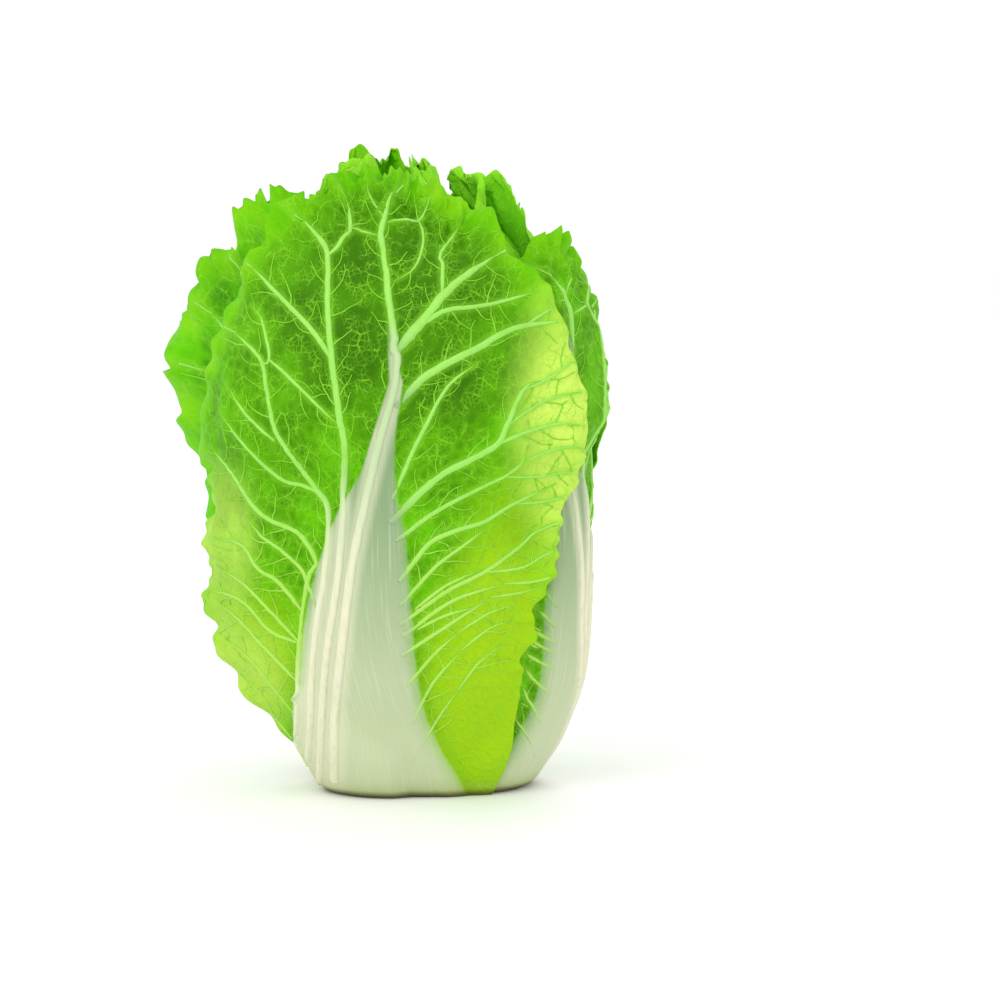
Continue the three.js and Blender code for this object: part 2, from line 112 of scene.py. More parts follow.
# the head's own coordinates
head = {
    "side": [
        (34, 0), (40, 9), (51, 27), (66, 56), (75, 96), (76.5, 146), (73.5, 187),
        (65, 214), (51, 237), (32, 256), (13, 266), (0, 268),
    ],  # radius and height of the heart's side
    "lean": 10,  # how far the axis stands to -X of the cut face
    "leanHeight": 90,
    "depthShare": 0.92,  # front-to-back size over left-to-right size
    "wrapDepth": 14,  # usual depth of the wrapper leaves over the heart
    "thickness": 1.2,
    "layerGap": 0.9,  # between a leaf and those that it lies on
    "footRound": 5, "footShare": 0.3,  # how the leaves thin towards the cut face
    "trimHeights": (178, 238),  # where a leaf's own trim of its width begins and is full
    "crownDip": 5,  # how far the heart's core lies below its leaves' ends
    "dipSides": (165, 205),
    "steps": 320,  # of the heart's side
    "samples": 4001,  # along a curve before its steps are made even
    "slopeSpan": 2,  # steps to each side that the heart's slope is taken over
}


def runAlong(points):
    return np.concatenate([[0], np.cumsum(np.linalg.norm(np.diff(points, axis=0), axis=1))])


def evenSpline(points, steps):
    # a Catmull-Rom curve through the points, in steps of equal length
    knots = np.array(points, float)
    last = len(knots) - 1
    place = np.linspace(0, last, head["samples"])
    i = np.minimum(place.astype(int), last - 1)
    w = (place - i)[:, None]
    a, b = knots[i], knots[i + 1]
    slopeA = (b - knots[np.maximum(i - 1, 0)]) / 2
    slopeB = (knots[np.minimum(i + 2, last)] - a) / 2
    curve = (2 * a - 2 * b + slopeA + slopeB) * w**3 + (3 * b - 3 * a - 2 * slopeA - slopeB) * w**2
    curve += slopeA * w + a
    run = runAlong(curve)
    even = np.linspace(0, run[-1], steps + 1)
    return np.column_stack([np.interp(even, run, column) for column in curve.T]), run[-1]


sideSteps, span = head["steps"], head["slopeSpan"]
side, sideLength = evenSpline(head["side"], sideSteps)
stations = np.arange(sideSteps + 1)
ahead = side[np.minimum(stations + span, sideSteps)] - side[np.maximum(stations - span, 0)]
# the way off the heart: level below the widest ring, square to the side above it
sideOut = np.column_stack([ahead[:, 1], np.maximum(0, -ahead[:, 0])])
sideOut /= np.linalg.norm(sideOut, axis=1)[:, None]


def sideAt(s):
    place = np.clip(s / sideLength, 0, 1) * sideSteps
    columns = (side[:, 0], side[:, 1], sideOut[:, 0], sideOut[:, 1])
    return [np.interp(place, stations, column) for column in columns]


def wrappedRadius(s):
    radius, _, outRadius, _ = sideAt(s)
    return radius + head["wrapDepth"] * outRadius


def headPoints(turn, s, height):
    radius, z, outRadius, outZ = sideAt(s)
    radius = radius + height * outRadius
    z = z + height * outZ
    lean = -head["lean"] * ease(0, head["leanHeight"], z)
    x = radius * np.sin(turn * degree) + lean
    return np.stack([x, -radius * np.cos(turn * degree) * head["depthShare"], z], -1)


# the eye that the front is seen from, which also places the veins
eye = {
    "distance": 1500.0, "elevation": 5.0,
    "aim": (30.0, 0, 125.6),  # the point at the middle of the view
    "viewWidth": 440.5,  # width that the view takes in at that point
}


def seenFromEye(points):
    # where points show on the upright plane through the aim, as x and height
    lift = eye["elevation"] * degree
    offset = points - np.array(eye["aim"])
    depth = offset[..., 1] * math.cos(lift) - offset[..., 2] * math.sin(lift)
    up = offset[..., 1] * math.sin(lift) + offset[..., 2] * math.cos(lift)
    nearness = eye["distance"] / (eye["distance"] + depth)
    return np.stack([offset[..., 0] * nearness + eye["aim"][0], up * nearness + eye["aim"][2]], -1)


# the pattern that every leaf follows, set out as the front leaf shows it
pattern = {
    "midribTurn": [
        (0, -20), (22, -22), (36, -17), (52, -10.5), (80, -5), (100, -3), (129, 0), (145, 3), (161, 5),
        (180, 8), (192, 6.5), (236, 4.2), (270, 4),
    ],
    "bladeLeft": [(0, 62), (24, 70), (58, 75), (100, 77), (150, 71), (185, 64), (270, 60)],
    "bladeRight": [(0, 47), (24, 50), (67, 50), (115, 60), (170, 67), (213, 62), (270, 58)],
    "midribHalfWidth": [
        (0, 38), (22, 37), (36, 32), (52, 27.5), (80, 25), (100, 22), (119, 18), (136, 11.5), (145, 8),
        (161, 5.7), (180, 4.1), (195, 2), (262, 1.2),
    ],
    "midribDepth": [
        (0, 8.5), (45, 8), (84, 6.5), (127, 4.8), (162, 3), (183, 2.2), (215, 1.4), (262, 0.4),
    ],
    "shoulder": 0.56,  # share of its length where a leaf's rounded end begins
    "rowBias": 0.3, "endSpan": 75, "lobeLength": 11, "lobeSize": 3.2,
    "lobeNear": (0.75, 1),  # where a detail begins and is full: 0 is the leaf's middle, 1 its margin
    "ruffleLength": 24, "ruffleWander": 37, "ruffleDrift": 2.2, "ruffleNear": (0.72, 1),
    "fullRuffleLift": 4, "liftNear": (0.7, 1.05), "liftCurve": 1.5,
    "sideLift": (0.12, 0.5),  # lengths along the leaf between which its sides rise off the head
    "flareIn": (0.04, 0.16), "flareOut": (0.28, 0.5), "tipLift": (0.25, 0.8),
    "clear": (1.04, 1.3),  # how far outside another leaf's margin a leaf is free of it
    "fleshReach": 1.25,  # how far the pale flesh goes past a midrib's sides
    "fleshDepths": (1.2, 2.6),  # depths of a midrib that is as green as the blade and wholly pale
}
veinGrowth = {
    "step": 2.4,
    "rootRun": 9.0,  # how far a vein's root runs on under the flesh it grows from
    "forkRun": 0.6,  # and in a vein that it forks from
    "forkReach": 3.0, "forkShare": 0.6, "forkWiden": 7.0,  # a forked vein is narrow at its root
    "tipShare": 0.25,
    "tipRun": 11,  # length over which a vein ends
    "taper": 1.8,
    "apart": 5.5,  # between thin veins on the same line
    "fork": (0.75, 1.25),  # angles between a veinlet and its vein
    "firstPlaces": (0.3, 1),  # spread of the usual measures
    "spacing": (0.6, 1.4), "lengths": (0.6, 1.2), "widths": (0.7, 1.2), "endFree": 2,
    "veinletRun": 12, "veinletWidth": 0.65,
    "veinletEnd": 0.5,  # width at a veinlet's tip over that at its root
    "veinletShare": 1.4,  # most width over that of the vein it leaves
    "meet": 2.2,  # where a veinlet joins what it comes near
    "wander": 0.3, "curl": 0.1, "tipCurve": 0.6, "gapReach": 12, "farGap": 20, "seed": 7,
}
# Ribs and veins from root to tip: width at the root and at the tip, then x and height of each bend as seen.
ribs = [
    (4.2, 2.6, [(-43, 2), (-43, 29), (-40, 59), (-36, 92), (-33, 108), (-24, 148), (-17, 173), (-15.5, 186),
                (-17, 199), (-19, 216), (-21, 234), (-22, 244), (-17, 257)]),
    (3.6, 2.2, [(-49.5, 2), (-48.5, 33), (-46, 61), (-41, 96), (-38, 144), (-40, 163), (-43, 187),
                (-45, 210), (-45, 232), (-48, 239), (-55, 247)]),
    (3.3, 1.6, [(-55.5, 2), (-54, 21), (-53, 45), (-51, 69), (-48, 88), (-45, 120), (-51, 131), (-64, 149),
                (-69, 159), (-72, 174), (-74, 187), (-85, 199)]),
    (3.1, 1.3, [(-61, 2), (-60, 21), (-58, 53), (-56, 72), (-53, 92), (-50, 98), (-54, 106), (-59, 112),
                (-71, 118), (-80, 127), (-86, 136), (-95, 149)]),
]
veins = [
    (4.7, 1.8, [(-16, 190), (-12.5, 194), (-8.5, 199), (-4, 204), (4, 214), (11, 221), (19, 227),
                (27, 232)]),
    (1.8, 0.7, [(4, 214), (4, 228), (3, 232), (10, 242), (12, 247)]),
    (1.4, 0.8, [(-19, 247), (-6, 247), (0, 260)]),
    (1.2, 0.7, [(-6, 247), (-4, 238), (-8, 226), (-18, 220)]),
    (2.2, 1.2, [(-45, 232), (-35, 244), (-37, 257)]),
    (1.3, 0.8, [(-35, 244), (-20, 240)]),
    (1.5, 0.8, [(-73, 185), (-70, 188), (-73, 204), (-78, 211)]),
    (2.4, 1.4, [(-43, 187), (-51, 199), (-65, 214), (-77, 227)]),
    (1.5, 0.8, [(-70, 187), (-59, 177), (-39, 157)]),
    (1.5, 0.7, [(-69, 152), (-76, 158), (-82, 165), (-88, 177)]),
    (1.8, 0.7, [(-48, 128), (-56, 132), (-64, 134), (-73, 141), (-80, 148), (-86, 156), (-91, 165)]),
    (2.0, 0.7, [(-50, 75), (-54, 90), (-57, 96), (-65, 104), (-73, 110), (-80, 119)]),
    (2.0, 0.7, [(-56, 77), (-66, 90), (-74, 95), (-80, 104), (-85, 107), (-95, 109)]),
    (1.8, 0.6, [(-58, 63), (-70, 68), (-79, 79), (-88, 84), (-100, 86)]),
    (1.7, 0.6, [(-57, 63), (-67, 74), (-80, 88), (-94, 97)]),
    (1.7, 0.6, [(-59, 46), (-72, 60), (-83, 73), (-94, 82)]),
    (1.6, 0.6, [(-61, 32), (-71, 45), (-80, 57), (-90, 65)]),
    (1.6, 0.6, [(-62, 21), (-69, 30), (-75, 40), (-84, 49)]),
    (3.4, 1.6, [(-10, 173), (-3, 180), (9, 187), (21, 193), (29, 198), (40, 202), (57, 204)]),
    (2.2, 0.9, [(-6, 201), (5, 208), (17, 210), (28, 212), (46, 217)]),
    (2.0, 0.8, [(-14, 134), (-8, 148), (-1, 162), (3, 170), (9, 178), (20, 186)]),
    (3.3, 1.4, [(-12, 122), (-3, 131), (6, 138), (16, 143), (28, 150), (32, 158), (39, 174), (46, 178)]),
    (1.7, 0.8, [(28, 150), (39, 155), (53, 159), (65, 158)]),
    (2.0, 0.8, [(-9, 113), (2, 121), (19, 130), (31, 136), (38, 142), (41, 150)]),
    (2.2, 0.8, [(-9, 97), (-1, 107), (9, 112), (22, 116), (35, 124), (53, 133)]),
    (1.8, 0.7, [(-8, 86), (2, 97), (11, 104), (24, 114)]),
    (2.0, 0.8, [(-7, 76), (7, 86), (22, 94), (36, 104), (44, 111), (53, 116)]),
    (1.6, 0.7, [(-7, 78), (6, 88), (20, 95)]),
    (1.8, 0.7, [(-6, 71), (10, 82), (31, 89)]),
    (1.5, 0.6, [(-6, 69), (6, 75), (20, 79)]),
    (1.7, 0.6, [(-6, 62), (6, 70), (25, 83)]),
    (1.5, 0.6, [(-5, 51), (2, 59), (12, 68)]),
    (1.5, 0.6, [(-5, 35), (1, 46), (13, 60)]),
    (1.3, 0.6, [(-4, 18), (3, 30), (12, 43)]),
    (1.3, 0.7, [(40, 202), (51, 209), (60, 214)]),
    (1.3, 0.7, [(39, 174), (50, 179), (60, 187), (66, 193)]),
    (1.2, 0.7, [(32, 158), (44, 167), (57, 172), (68, 173)]),
    (1.2, 0.7, [(38, 142), (49, 147), (60, 149), (70, 147)]),
    (1.2, 0.7, [(31, 136), (45, 136), (58, 138), (70, 137)]),
    (1.2, 0.7, [(35, 124), (48, 125), (60, 128), (70, 127)]),
    (1.2, 0.7, [(44, 111), (55, 116), (68, 117)]),
    (1.2, 0.7, [(22, 94), (38, 96), (51, 103), (63, 106)]),
    (1.2, 0.7, [(31, 89), (44, 90), (56, 94), (63, 96)]),
    (1.1, 0.6, [(25, 83), (37, 85), (48, 88)]),
    (1.1, 0.6, [(12, 68), (24, 76), (36, 80)]),
    (1.1, 0.6, [(13, 60), (24, 69), (34, 73)]),
    (1.1, 0.6, [(12, 43), (20, 54), (30, 62)]),
    (1.2, 0.6, [(-17, 257), (-12, 264), (-10, 270)]),
    (1.2, 0.6, [(-21, 249), (-27, 258), (-28, 266)]),
    (1.1, 0.6, [(-37, 257), (-42, 265)]),
    (1.2, 0.6, [(-55, 247), (-62, 252), (-66, 258)]),
    (1.2, 0.6, [(0, 260), (6, 267)]),
    (1.2, 0.6, [(12, 247), (18, 253), (20, 260)]),
    (1.3, 0.6, [(27, 232), (35, 237), (40, 243)]),
    (1.3, 0.7, [(-77, 227), (-84, 231), (-89, 237)]),
    (1.2, 0.6, [(-85, 199), (-92, 203), (-98, 209)]),
    (1.2, 0.6, [(46, 217), (54, 221), (59, 227)]),
]


# a leaf's own coordinates: -1 to 1 across it and 0 to 1 along it
def halfWidth(leaf, across, z):
    left = along(pattern["bladeLeft"], z)
    right = along(pattern["bladeRight"], z)
    trim = mix(1, np.where(across < 0, *leaf.get("trim", (1, 1))), ease(*head["trimHeights"], z))
    return np.where(across * leaf["flip"] < 0, left, right) * leaf["wide"] * trim


def leafAcross(leaf, turn, s):
    off = turn - leaf["turn"]
    off = off - np.floor(off / 360 + 0.5) * 360
    return off / halfWidth(leaf, off, sideAt(s)[1])


def leafLength(leaf, s):
    return s / (leaf["reach"] * sideLength)


def pastShoulder(length):
    return (length - pattern["shoulder"]) / (1 - pattern["shoulder"])


def nearMargin(across, length):
    return np.hypot(across, np.maximum(0, pastShoulder(length)))


def marginLength(leaf, across, length):
    end = pastShoulder(length)
    tip = np.arctan2(across, end) * pattern["endSpan"]
    down = (pattern["shoulder"] - length) * leaf["reach"] * sideLength
    return np.where(end >= 0, tip, np.sign(across) * (math.pi / 2 * pattern["endSpan"] + down))


def uncovered(leaf, turn, s):
    share = np.ones(turn.shape)
    for cover in leaf["covers"]:
        near = nearMargin(leafAcross(cover, turn, s), leafLength(cover, s))
        share = share * ease(*leaf.get("clear", pattern["clear"]), near)
    return share


# what is already in place, as height over the heart's side
support = {
    "turnCells": 240,
    "sideCells": 120,
    "blur": 2,
    "widthHeight": 100,  # height at which a leaf's width is taken
    "cellParts": 3,  # a leaf bridges hollows within this part of its solid's cells
}
turnCells, sideCells = support["turnCells"], support["sideCells"]


def filtered(grid, turnReach, sideReach, combine):
    turned = combine([np.roll(grid, -k, 0) for k in range(-turnReach, turnReach + 1)], axis=0)
    padded = np.pad(turned, ((0, 0), (sideReach, sideReach)), "edge")
    return combine([padded[:, k : k + sideCells] for k in range(2 * sideReach + 1)], axis=0)


def supportFor(leaf, grid):
    # the smoothed surface that a leaf lies on, bridging hollows
    blur, parts = support["blur"], support["cellParts"]
    width = float(sum(halfWidth(leaf, way, support["widthHeight"]) for way in (-1, 1)))
    cellTurn = width / leaf["cells"][0] / parts
    cellSide = leaf["reach"] * sideLength * (1 + pattern["rowBias"]) / leaf["cells"][1] / parts
    turnReach = math.ceil(cellTurn / (360 / turnCells)) + blur
    sideReach = math.ceil(cellSide / (sideLength / sideCells)) + blur
    return filtered(filtered(grid, turnReach, sideReach, np.max), blur, blur, np.mean)


def heightAt(grid, turn, s):
    x = (turn + 540) / 360 * turnCells
    y = np.clip(s / sideLength * (sideCells - 1), 0, sideCells - 1.001)
    i, j = np.floor(x).astype(int), np.floor(y).astype(int)
    a, b = grid[i % turnCells], grid[(i + 1) % turnCells]
    pick = lambda rows, k: np.take_along_axis(rows, k[..., None], -1)[..., 0]
    return mix(mix(pick(a, j), pick(b, j), x - i), mix(pick(a, j + 1), pick(b, j + 1), x - i), y - j)


def cover(grid, turn, s, height):
    i = np.round((turn + 540) / 360 * turnCells).astype(int) % turnCells
    j = np.clip(np.round(s / sideLength * (sideCells - 1)).astype(int), 0, sideCells - 1)
    np.maximum.at(grid, (i.ravel(), j.ravel()), height.ravel())


def coreHeight(s):
    return -head["crownDip"] * ease(*head["dipSides"], s)


depth = np.tile(coreHeight(np.linspace(0, sideLength, sideCells)), (turnCells, 1))


# the shape of one leaf
fineMargin = {
    "lobeLength": 5.0,  # small lobes on the outline
    "lobeSize": 1.2, "toothLength": 2.6, "toothSize": 0.7, "toothNear": (0.9, 1),
    "pointNear": (0.8, 1),
    "pointSteepness": 2.2,  # of a pointed tooth's lower flank over its upper one
    "footFree": (0.08, 0.3),  # lengths along the leaf between which its outline gets its lobes
    "rowBunching": 0.1,  # how much closer the rows lie at a leaf's ends
    "seeds": (50, 60, 70),  # of the large and small lobes and the teeth, after the leaf's own
    "leastRadius": 30,  # of the head where a lobe is turned into degrees
    "rippleLength": 9.5,  # small ruffles that stand off the blade
    "rippleWander": 21, "rippleDrift": 3, "rippleNear": (0.82, 1), "thinNear": (0.85, 1),
    "edgeThickness": 0.5,
}
relief = {
    "seeds": (3, 5, 20, 40),  # of the ripples, the shake, the puckers and the wrinkles
    "swell": 0.55,  # broad rise of the blade beside a vein
    "swellReach": 2.6,
    "wrinkle": 0.45,  # height of the net between the veins
    "wrinkleSize": 7.0,
    "billow": 2.4,  # slow waves of the whole blade
    "billowSize": 26,
    "pucker": 4.2,  # rounded bumps of the tip
    "puckerSize": 11, "puckerNear": (0.3, 0.85), "puckerRim": 0.7, "wrinkleRim": 0.45,
    "wrinkleShake": 0.3, "shakeSize": 6, "smoothNear": (0.93, 1),
    "free": (0.1, 0.3),  # lengths along the leaf between which its reliefs begin
    "sunkNear": (0.7, 0.9),
    "grownRun": 0.1,  # length over which a young leaf rises out of the heart's core
    "rootDip": 0.5,
}


def sheetPlaces(leaf):
    # places of a leaf's grid, from the root up, as turn and side length
    columns, rows = leaf["mesh"]
    u, t = np.meshgrid(np.linspace(-1, 1, columns + 1), np.linspace(0, 1, rows + 1))
    v = mix(leaf.get("root", 0), 1, t - fineMargin["rowBunching"] * np.sin(2 * math.pi * t) / (2 * math.pi))
    end = np.maximum(0, pastShoulder(v))
    across = u * np.sqrt(1 - end * end / 2)
    rounded = pattern["shoulder"] + (1 - pattern["shoulder"]) * end * np.sqrt(1 - u * u / 2)
    length = np.where(end > 0, rounded, v)
    margin = marginLength(leaf, across, length)
    near = nearMargin(across, length)
    lobeSeed, smallSeed, toothSeed = (leaf["seed"] + more for more in fineMargin["seeds"])
    lobe = pattern["lobeSize"] * drift(margin / pattern["lobeLength"], lobeSeed)
    lobe = lobe * ease(*pattern["lobeNear"], near)
    small = fineMargin["lobeSize"] * drift(margin / fineMargin["lobeLength"], smallSeed)
    tooth = fineMargin["toothSize"] * drift(margin / fineMargin["toothLength"], toothSeed)
    small, tooth = small * leaf.get("ragged", 1), tooth * leaf.get("ragged", 1)
    lobe = lobe + (small + tooth) * ease(*fineMargin["toothNear"], near)
    lobe = lobe * ease(*fineMargin["footFree"], length)
    for place, reach, size in leaf.get("points", []):
        # a pointed tooth of the outline
        off = (margin - place) / reach
        off = np.where(off < 0, -fineMargin["pointSteepness"] * off, off)
        lobe = lobe + size * np.clip(1 - off, 0, 1) * ease(*fineMargin["pointNear"], near)
    s = length * leaf["reach"] * sideLength
    spread = lobe * across / np.maximum(fineMargin["leastRadius"], sideAt(s)[0]) / degree
    turn = leaf["turn"] + across * halfWidth(leaf, across, sideAt(s)[1]) + spread
    return turn, s + lobe * end


def placesOn(leaf, placed):
    turn = leaf["turn"] + placed[:, 0] * leaf["flip"] * leaf["wide"]
    return turn, placed[:, 1] * leaf["reach"] * sideLength


def veinGap(leaf, turn, s, paths):
    # how far each place is from the nearest vein's edge
    reach = veinGrowth["gapReach"]
    gap = np.full(turn.shape, float(veinGrowth["farGap"]))
    roundScale = wrappedRadius(s) * degree
    lowest, highest = s.min(1), s.max(1)
    for widths, placed in paths:
        lineTurn, lineSide = placesOn(leaf, placed)
        for k in range(len(placed) - 1):
            low, high = sorted(lineSide[k : k + 2])
            rows = np.nonzero((highest > low - reach) & (lowest < high + reach))[0]
            if len(rows) == 0:
                continue
            band = slice(rows[0], rows[-1] + 1)
            width = 2 * reach + abs(lineTurn[k + 1] - lineTurn[k]) * roundScale[band].max()
            close = np.abs(turn[band] - (lineTurn[k] + lineTurn[k + 1]) / 2) * roundScale[band] < width / 2
            close &= (s[band] > low - reach) & (s[band] < high + reach)
            here = np.nonzero(close)
            if len(here[0]) == 0:
                continue
            spots = (here[0] + rows[0], here[1])
            ax = (lineTurn[k] - turn[spots]) * roundScale[spots]
            bx = (lineTurn[k + 1] - turn[spots]) * roundScale[spots]
            ay = lineSide[k] - s[spots]
            by = lineSide[k + 1] - s[spots]
            dx, dy = bx - ax, by - ay
            share = np.clip(-(ax * dx + ay * dy) / np.maximum(dx * dx + dy * dy, 1e-6), 0, 1)
            distance = np.hypot(ax + share * dx, ay + share * dy) - mix(widths[k], widths[k + 1], share)
            gap[spots] = np.minimum(gap[spots], np.maximum(0, distance))
    return gap


def fleshyShare(form):
    flat = np.clip(pattern["fleshReach"] - form["fromMidrib"] ** 2, 0, 1)
    return flat * ease(*pattern["fleshDepths"], form["midrib"])


def leafForm(leaf, turn, s):
    # the leaf's inner and outer face, as the solid has them, and what its details need
    across = leafAcross(leaf, turn, s)
    length = leafLength(leaf, s)
    near = nearMargin(across, length)
    radius, z, _, _ = sideAt(s)
    tip = np.clip(pastShoulder(length), 0, 1)
    openShare = uncovered(leaf, turn, s)
    liftLeft, liftRight, liftTip = leaf["lift"]
    sideLift = np.where(across < 0, liftLeft, liftRight) * ease(*pattern["sideLift"], length)
    flare = np.where(across < 0, leaf.get("flare", 0), 0) * ease(*pattern["flareIn"], length)
    sideLift += flare * (1 - ease(*pattern["flareOut"], length))
    lift = mix(sideLift, liftTip, ease(*pattern["tipLift"], tip)) * openShare
    margin = marginLength(leaf, across, length)
    wander = pattern["ruffleDrift"] * drift(margin / pattern["ruffleWander"], leaf["seed"])
    ruffle = 0.5 + 0.5 * np.sin(margin / pattern["ruffleLength"] * 2 * math.pi + wander)
    wave = leaf["wave"] * np.clip(lift / pattern["fullRuffleLift"], 0, 1) * ruffle
    wave = wave * ease(*pattern["ruffleNear"], near)
    raised = lift * ease(*pattern["liftNear"], near) ** pattern["liftCurve"]
    inner = heightAt(leaf["support"], turn, s) + head["layerGap"] + raised + wave
    patternOff = across * halfWidth(leaf, across, z) * leaf["flip"]
    midribOff = (patternOff - along(pattern["midribTurn"], z) * leaf["wide"]) * degree * (radius + inner)
    fromMidrib = midribOff / along(pattern["midribHalfWidth"], z)
    midrib = along(pattern["midribDepth"], z) * np.maximum(0, 1 - fromMidrib**4)
    return {
        "length": length, "near": near, "margin": margin, "open": openShare, "tip": tip, "inner": inner,
        "midrib": midrib, "fromMidrib": fromMidrib, "z": z,
    }


search = {  # rounds of small steps that move a place to where it has to show
    "rounds": 40, "pace": 0.6, "turnStep": 8, "sideStep": 15, "turnReach": 88, "leastArea": 0.05,
}


def placeSeen(spots, leaf):
    # turn and side length of the places on a leaf's outer face that show where the spots are
    spots = np.array(spots, float)
    turn = np.full(len(spots), float(leaf["turn"]))
    s = np.full(len(spots), sideLength / 2)

    def shown(turn, s):
        form = leafForm(leaf, turn, s)
        return seenFromEye(headPoints(turn, s, form["inner"] + head["thickness"] + form["midrib"]))

    for _ in range(search["rounds"]):
        here = shown(turn, s)
        miss = spots - here
        perTurn, perSide = shown(turn + 1, s) - here, (shown(turn, s + 2) - here) / 2
        area = perTurn[:, 0] * perSide[:, 1] - perSide[:, 0] * perTurn[:, 1]
        area = np.where(np.abs(area) < search["leastArea"], search["leastArea"], area)
        turnStep = (miss[:, 0] * perSide[:, 1] - perSide[:, 0] * miss[:, 1]) / area
        sideStep = (perTurn[:, 0] * miss[:, 1] - miss[:, 0] * perTurn[:, 1]) / area
        turn = turn + search["pace"] * np.clip(turnStep, -search["turnStep"], search["turnStep"])
        turn = np.clip(turn, leaf["turn"] - search["turnReach"], leaf["turn"] + search["turnReach"])
        s = s + search["pace"] * np.clip(sideStep, -search["sideStep"], search["sideStep"])
        s = np.clip(s, 0, sideLength)
    return np.stack([turn, s], -1)


def lineOfVein(rootWidth, tipWidth, bends, parents=()):
    # places as seen and half widths; the root runs on into the vein or the flesh that it grows from
    run = float(np.sum(np.linalg.norm(np.diff(bends, axis=0), axis=1)))
    spots, _ = evenSpline(bends, max(3, round(run / veinGrowth["step"])))
    back = spots[0] - spots[1]
    gaps = [np.linalg.norm(spots[0] - parent, axis=1).min() for parent in parents]
    forked = any(gap < veinGrowth["forkReach"] for gap in gaps)
    rootRun = veinGrowth["forkRun"] if forked else veinGrowth["rootRun"]
    root = spots[0] + back / np.linalg.norm(back) * rootRun
    narrow = veinGrowth["forkShare"] if forked else 1
    widths = mix(rootWidth, tipWidth, np.linspace(0, 1, len(spots)) ** veinGrowth["taper"])
    left = np.linspace(run, 0, len(spots)) / veinGrowth["tipRun"]
    widths *= np.maximum(veinGrowth["tipShare"], np.minimum(1, left) ** veinGrowth["tipCurve"])
    widths *= mix(narrow, 1, ease(0, veinGrowth["forkWiden"], np.linspace(0, run, len(spots))))
    return np.vstack([root, spots]), np.concatenate([widths[:1], widths]) / 2


def veinletsOf(lines, dice):
    # thin veins that leave each line to both sides and stop at the next line they reach
    taken = [np.vstack([spots for spots, _ in lines])]
    veinlets = []
    for spots, widths in lines:
        run = runAlong(spots)
        place = veinGrowth["rootRun"] + veinGrowth["apart"] * dice.uniform(*veinGrowth["firstPlaces"])
        sideways = dice.choice([-1, 1])
        while place < run[-1] - veinGrowth["endFree"]:
            start = np.array([np.interp(place, run, column) for column in spots.T])
            onward = np.array([np.interp(place + 1, run, column) for column in spots.T]) - start
            heading = math.atan2(onward[1], onward[0]) + sideways * dice.uniform(*veinGrowth["fork"])
            length = veinGrowth["veinletRun"] * dice.uniform(*veinGrowth["lengths"])
            line = [start]
            others = np.vstack(taken)
            while len(line) < 2 + length / veinGrowth["step"]:
                wander = dice.uniform(-veinGrowth["wander"], veinGrowth["wander"])
                heading += wander - sideways * veinGrowth["curl"]
                onward = line[-1] + veinGrowth["step"] * np.array([math.cos(heading), math.sin(heading)])
                line.append(onward)
                gaps = np.linalg.norm(others - onward, axis=1)
                if len(line) > 2 and gaps.min() < veinGrowth["meet"]:
                    line[-1] = others[int(gaps.argmin())]
                    break
            most = np.interp(place, run, widths) * veinGrowth["veinletShare"]
            width = min(veinGrowth["veinletWidth"] * dice.uniform(*veinGrowth["widths"]), most)
            tip = width * veinGrowth["veinletEnd"]
            veinlets.append((np.array(line), np.linspace(width, tip, len(line)) / 2))
            taken.append(np.array(line[1:]))
            place += veinGrowth["apart"] * dice.uniform(*veinGrowth["spacing"])
            sideways = -sideways
    return veinlets


def patternPaths(lines, leaf):
    # each line as half widths and a path of turn off the leaf's middle and share of its length
    spots = placeSeen(np.vstack([line for line, _ in lines]), leaf)
    spots -= (leaf["turn"], 0)
    spots /= (1, leaf["reach"] * sideLength)
    ends = np.cumsum([len(line) for line, _ in lines])
    return [(widths, placed) for (_, widths), placed in zip(lines, np.split(spots, ends[:-1]))]


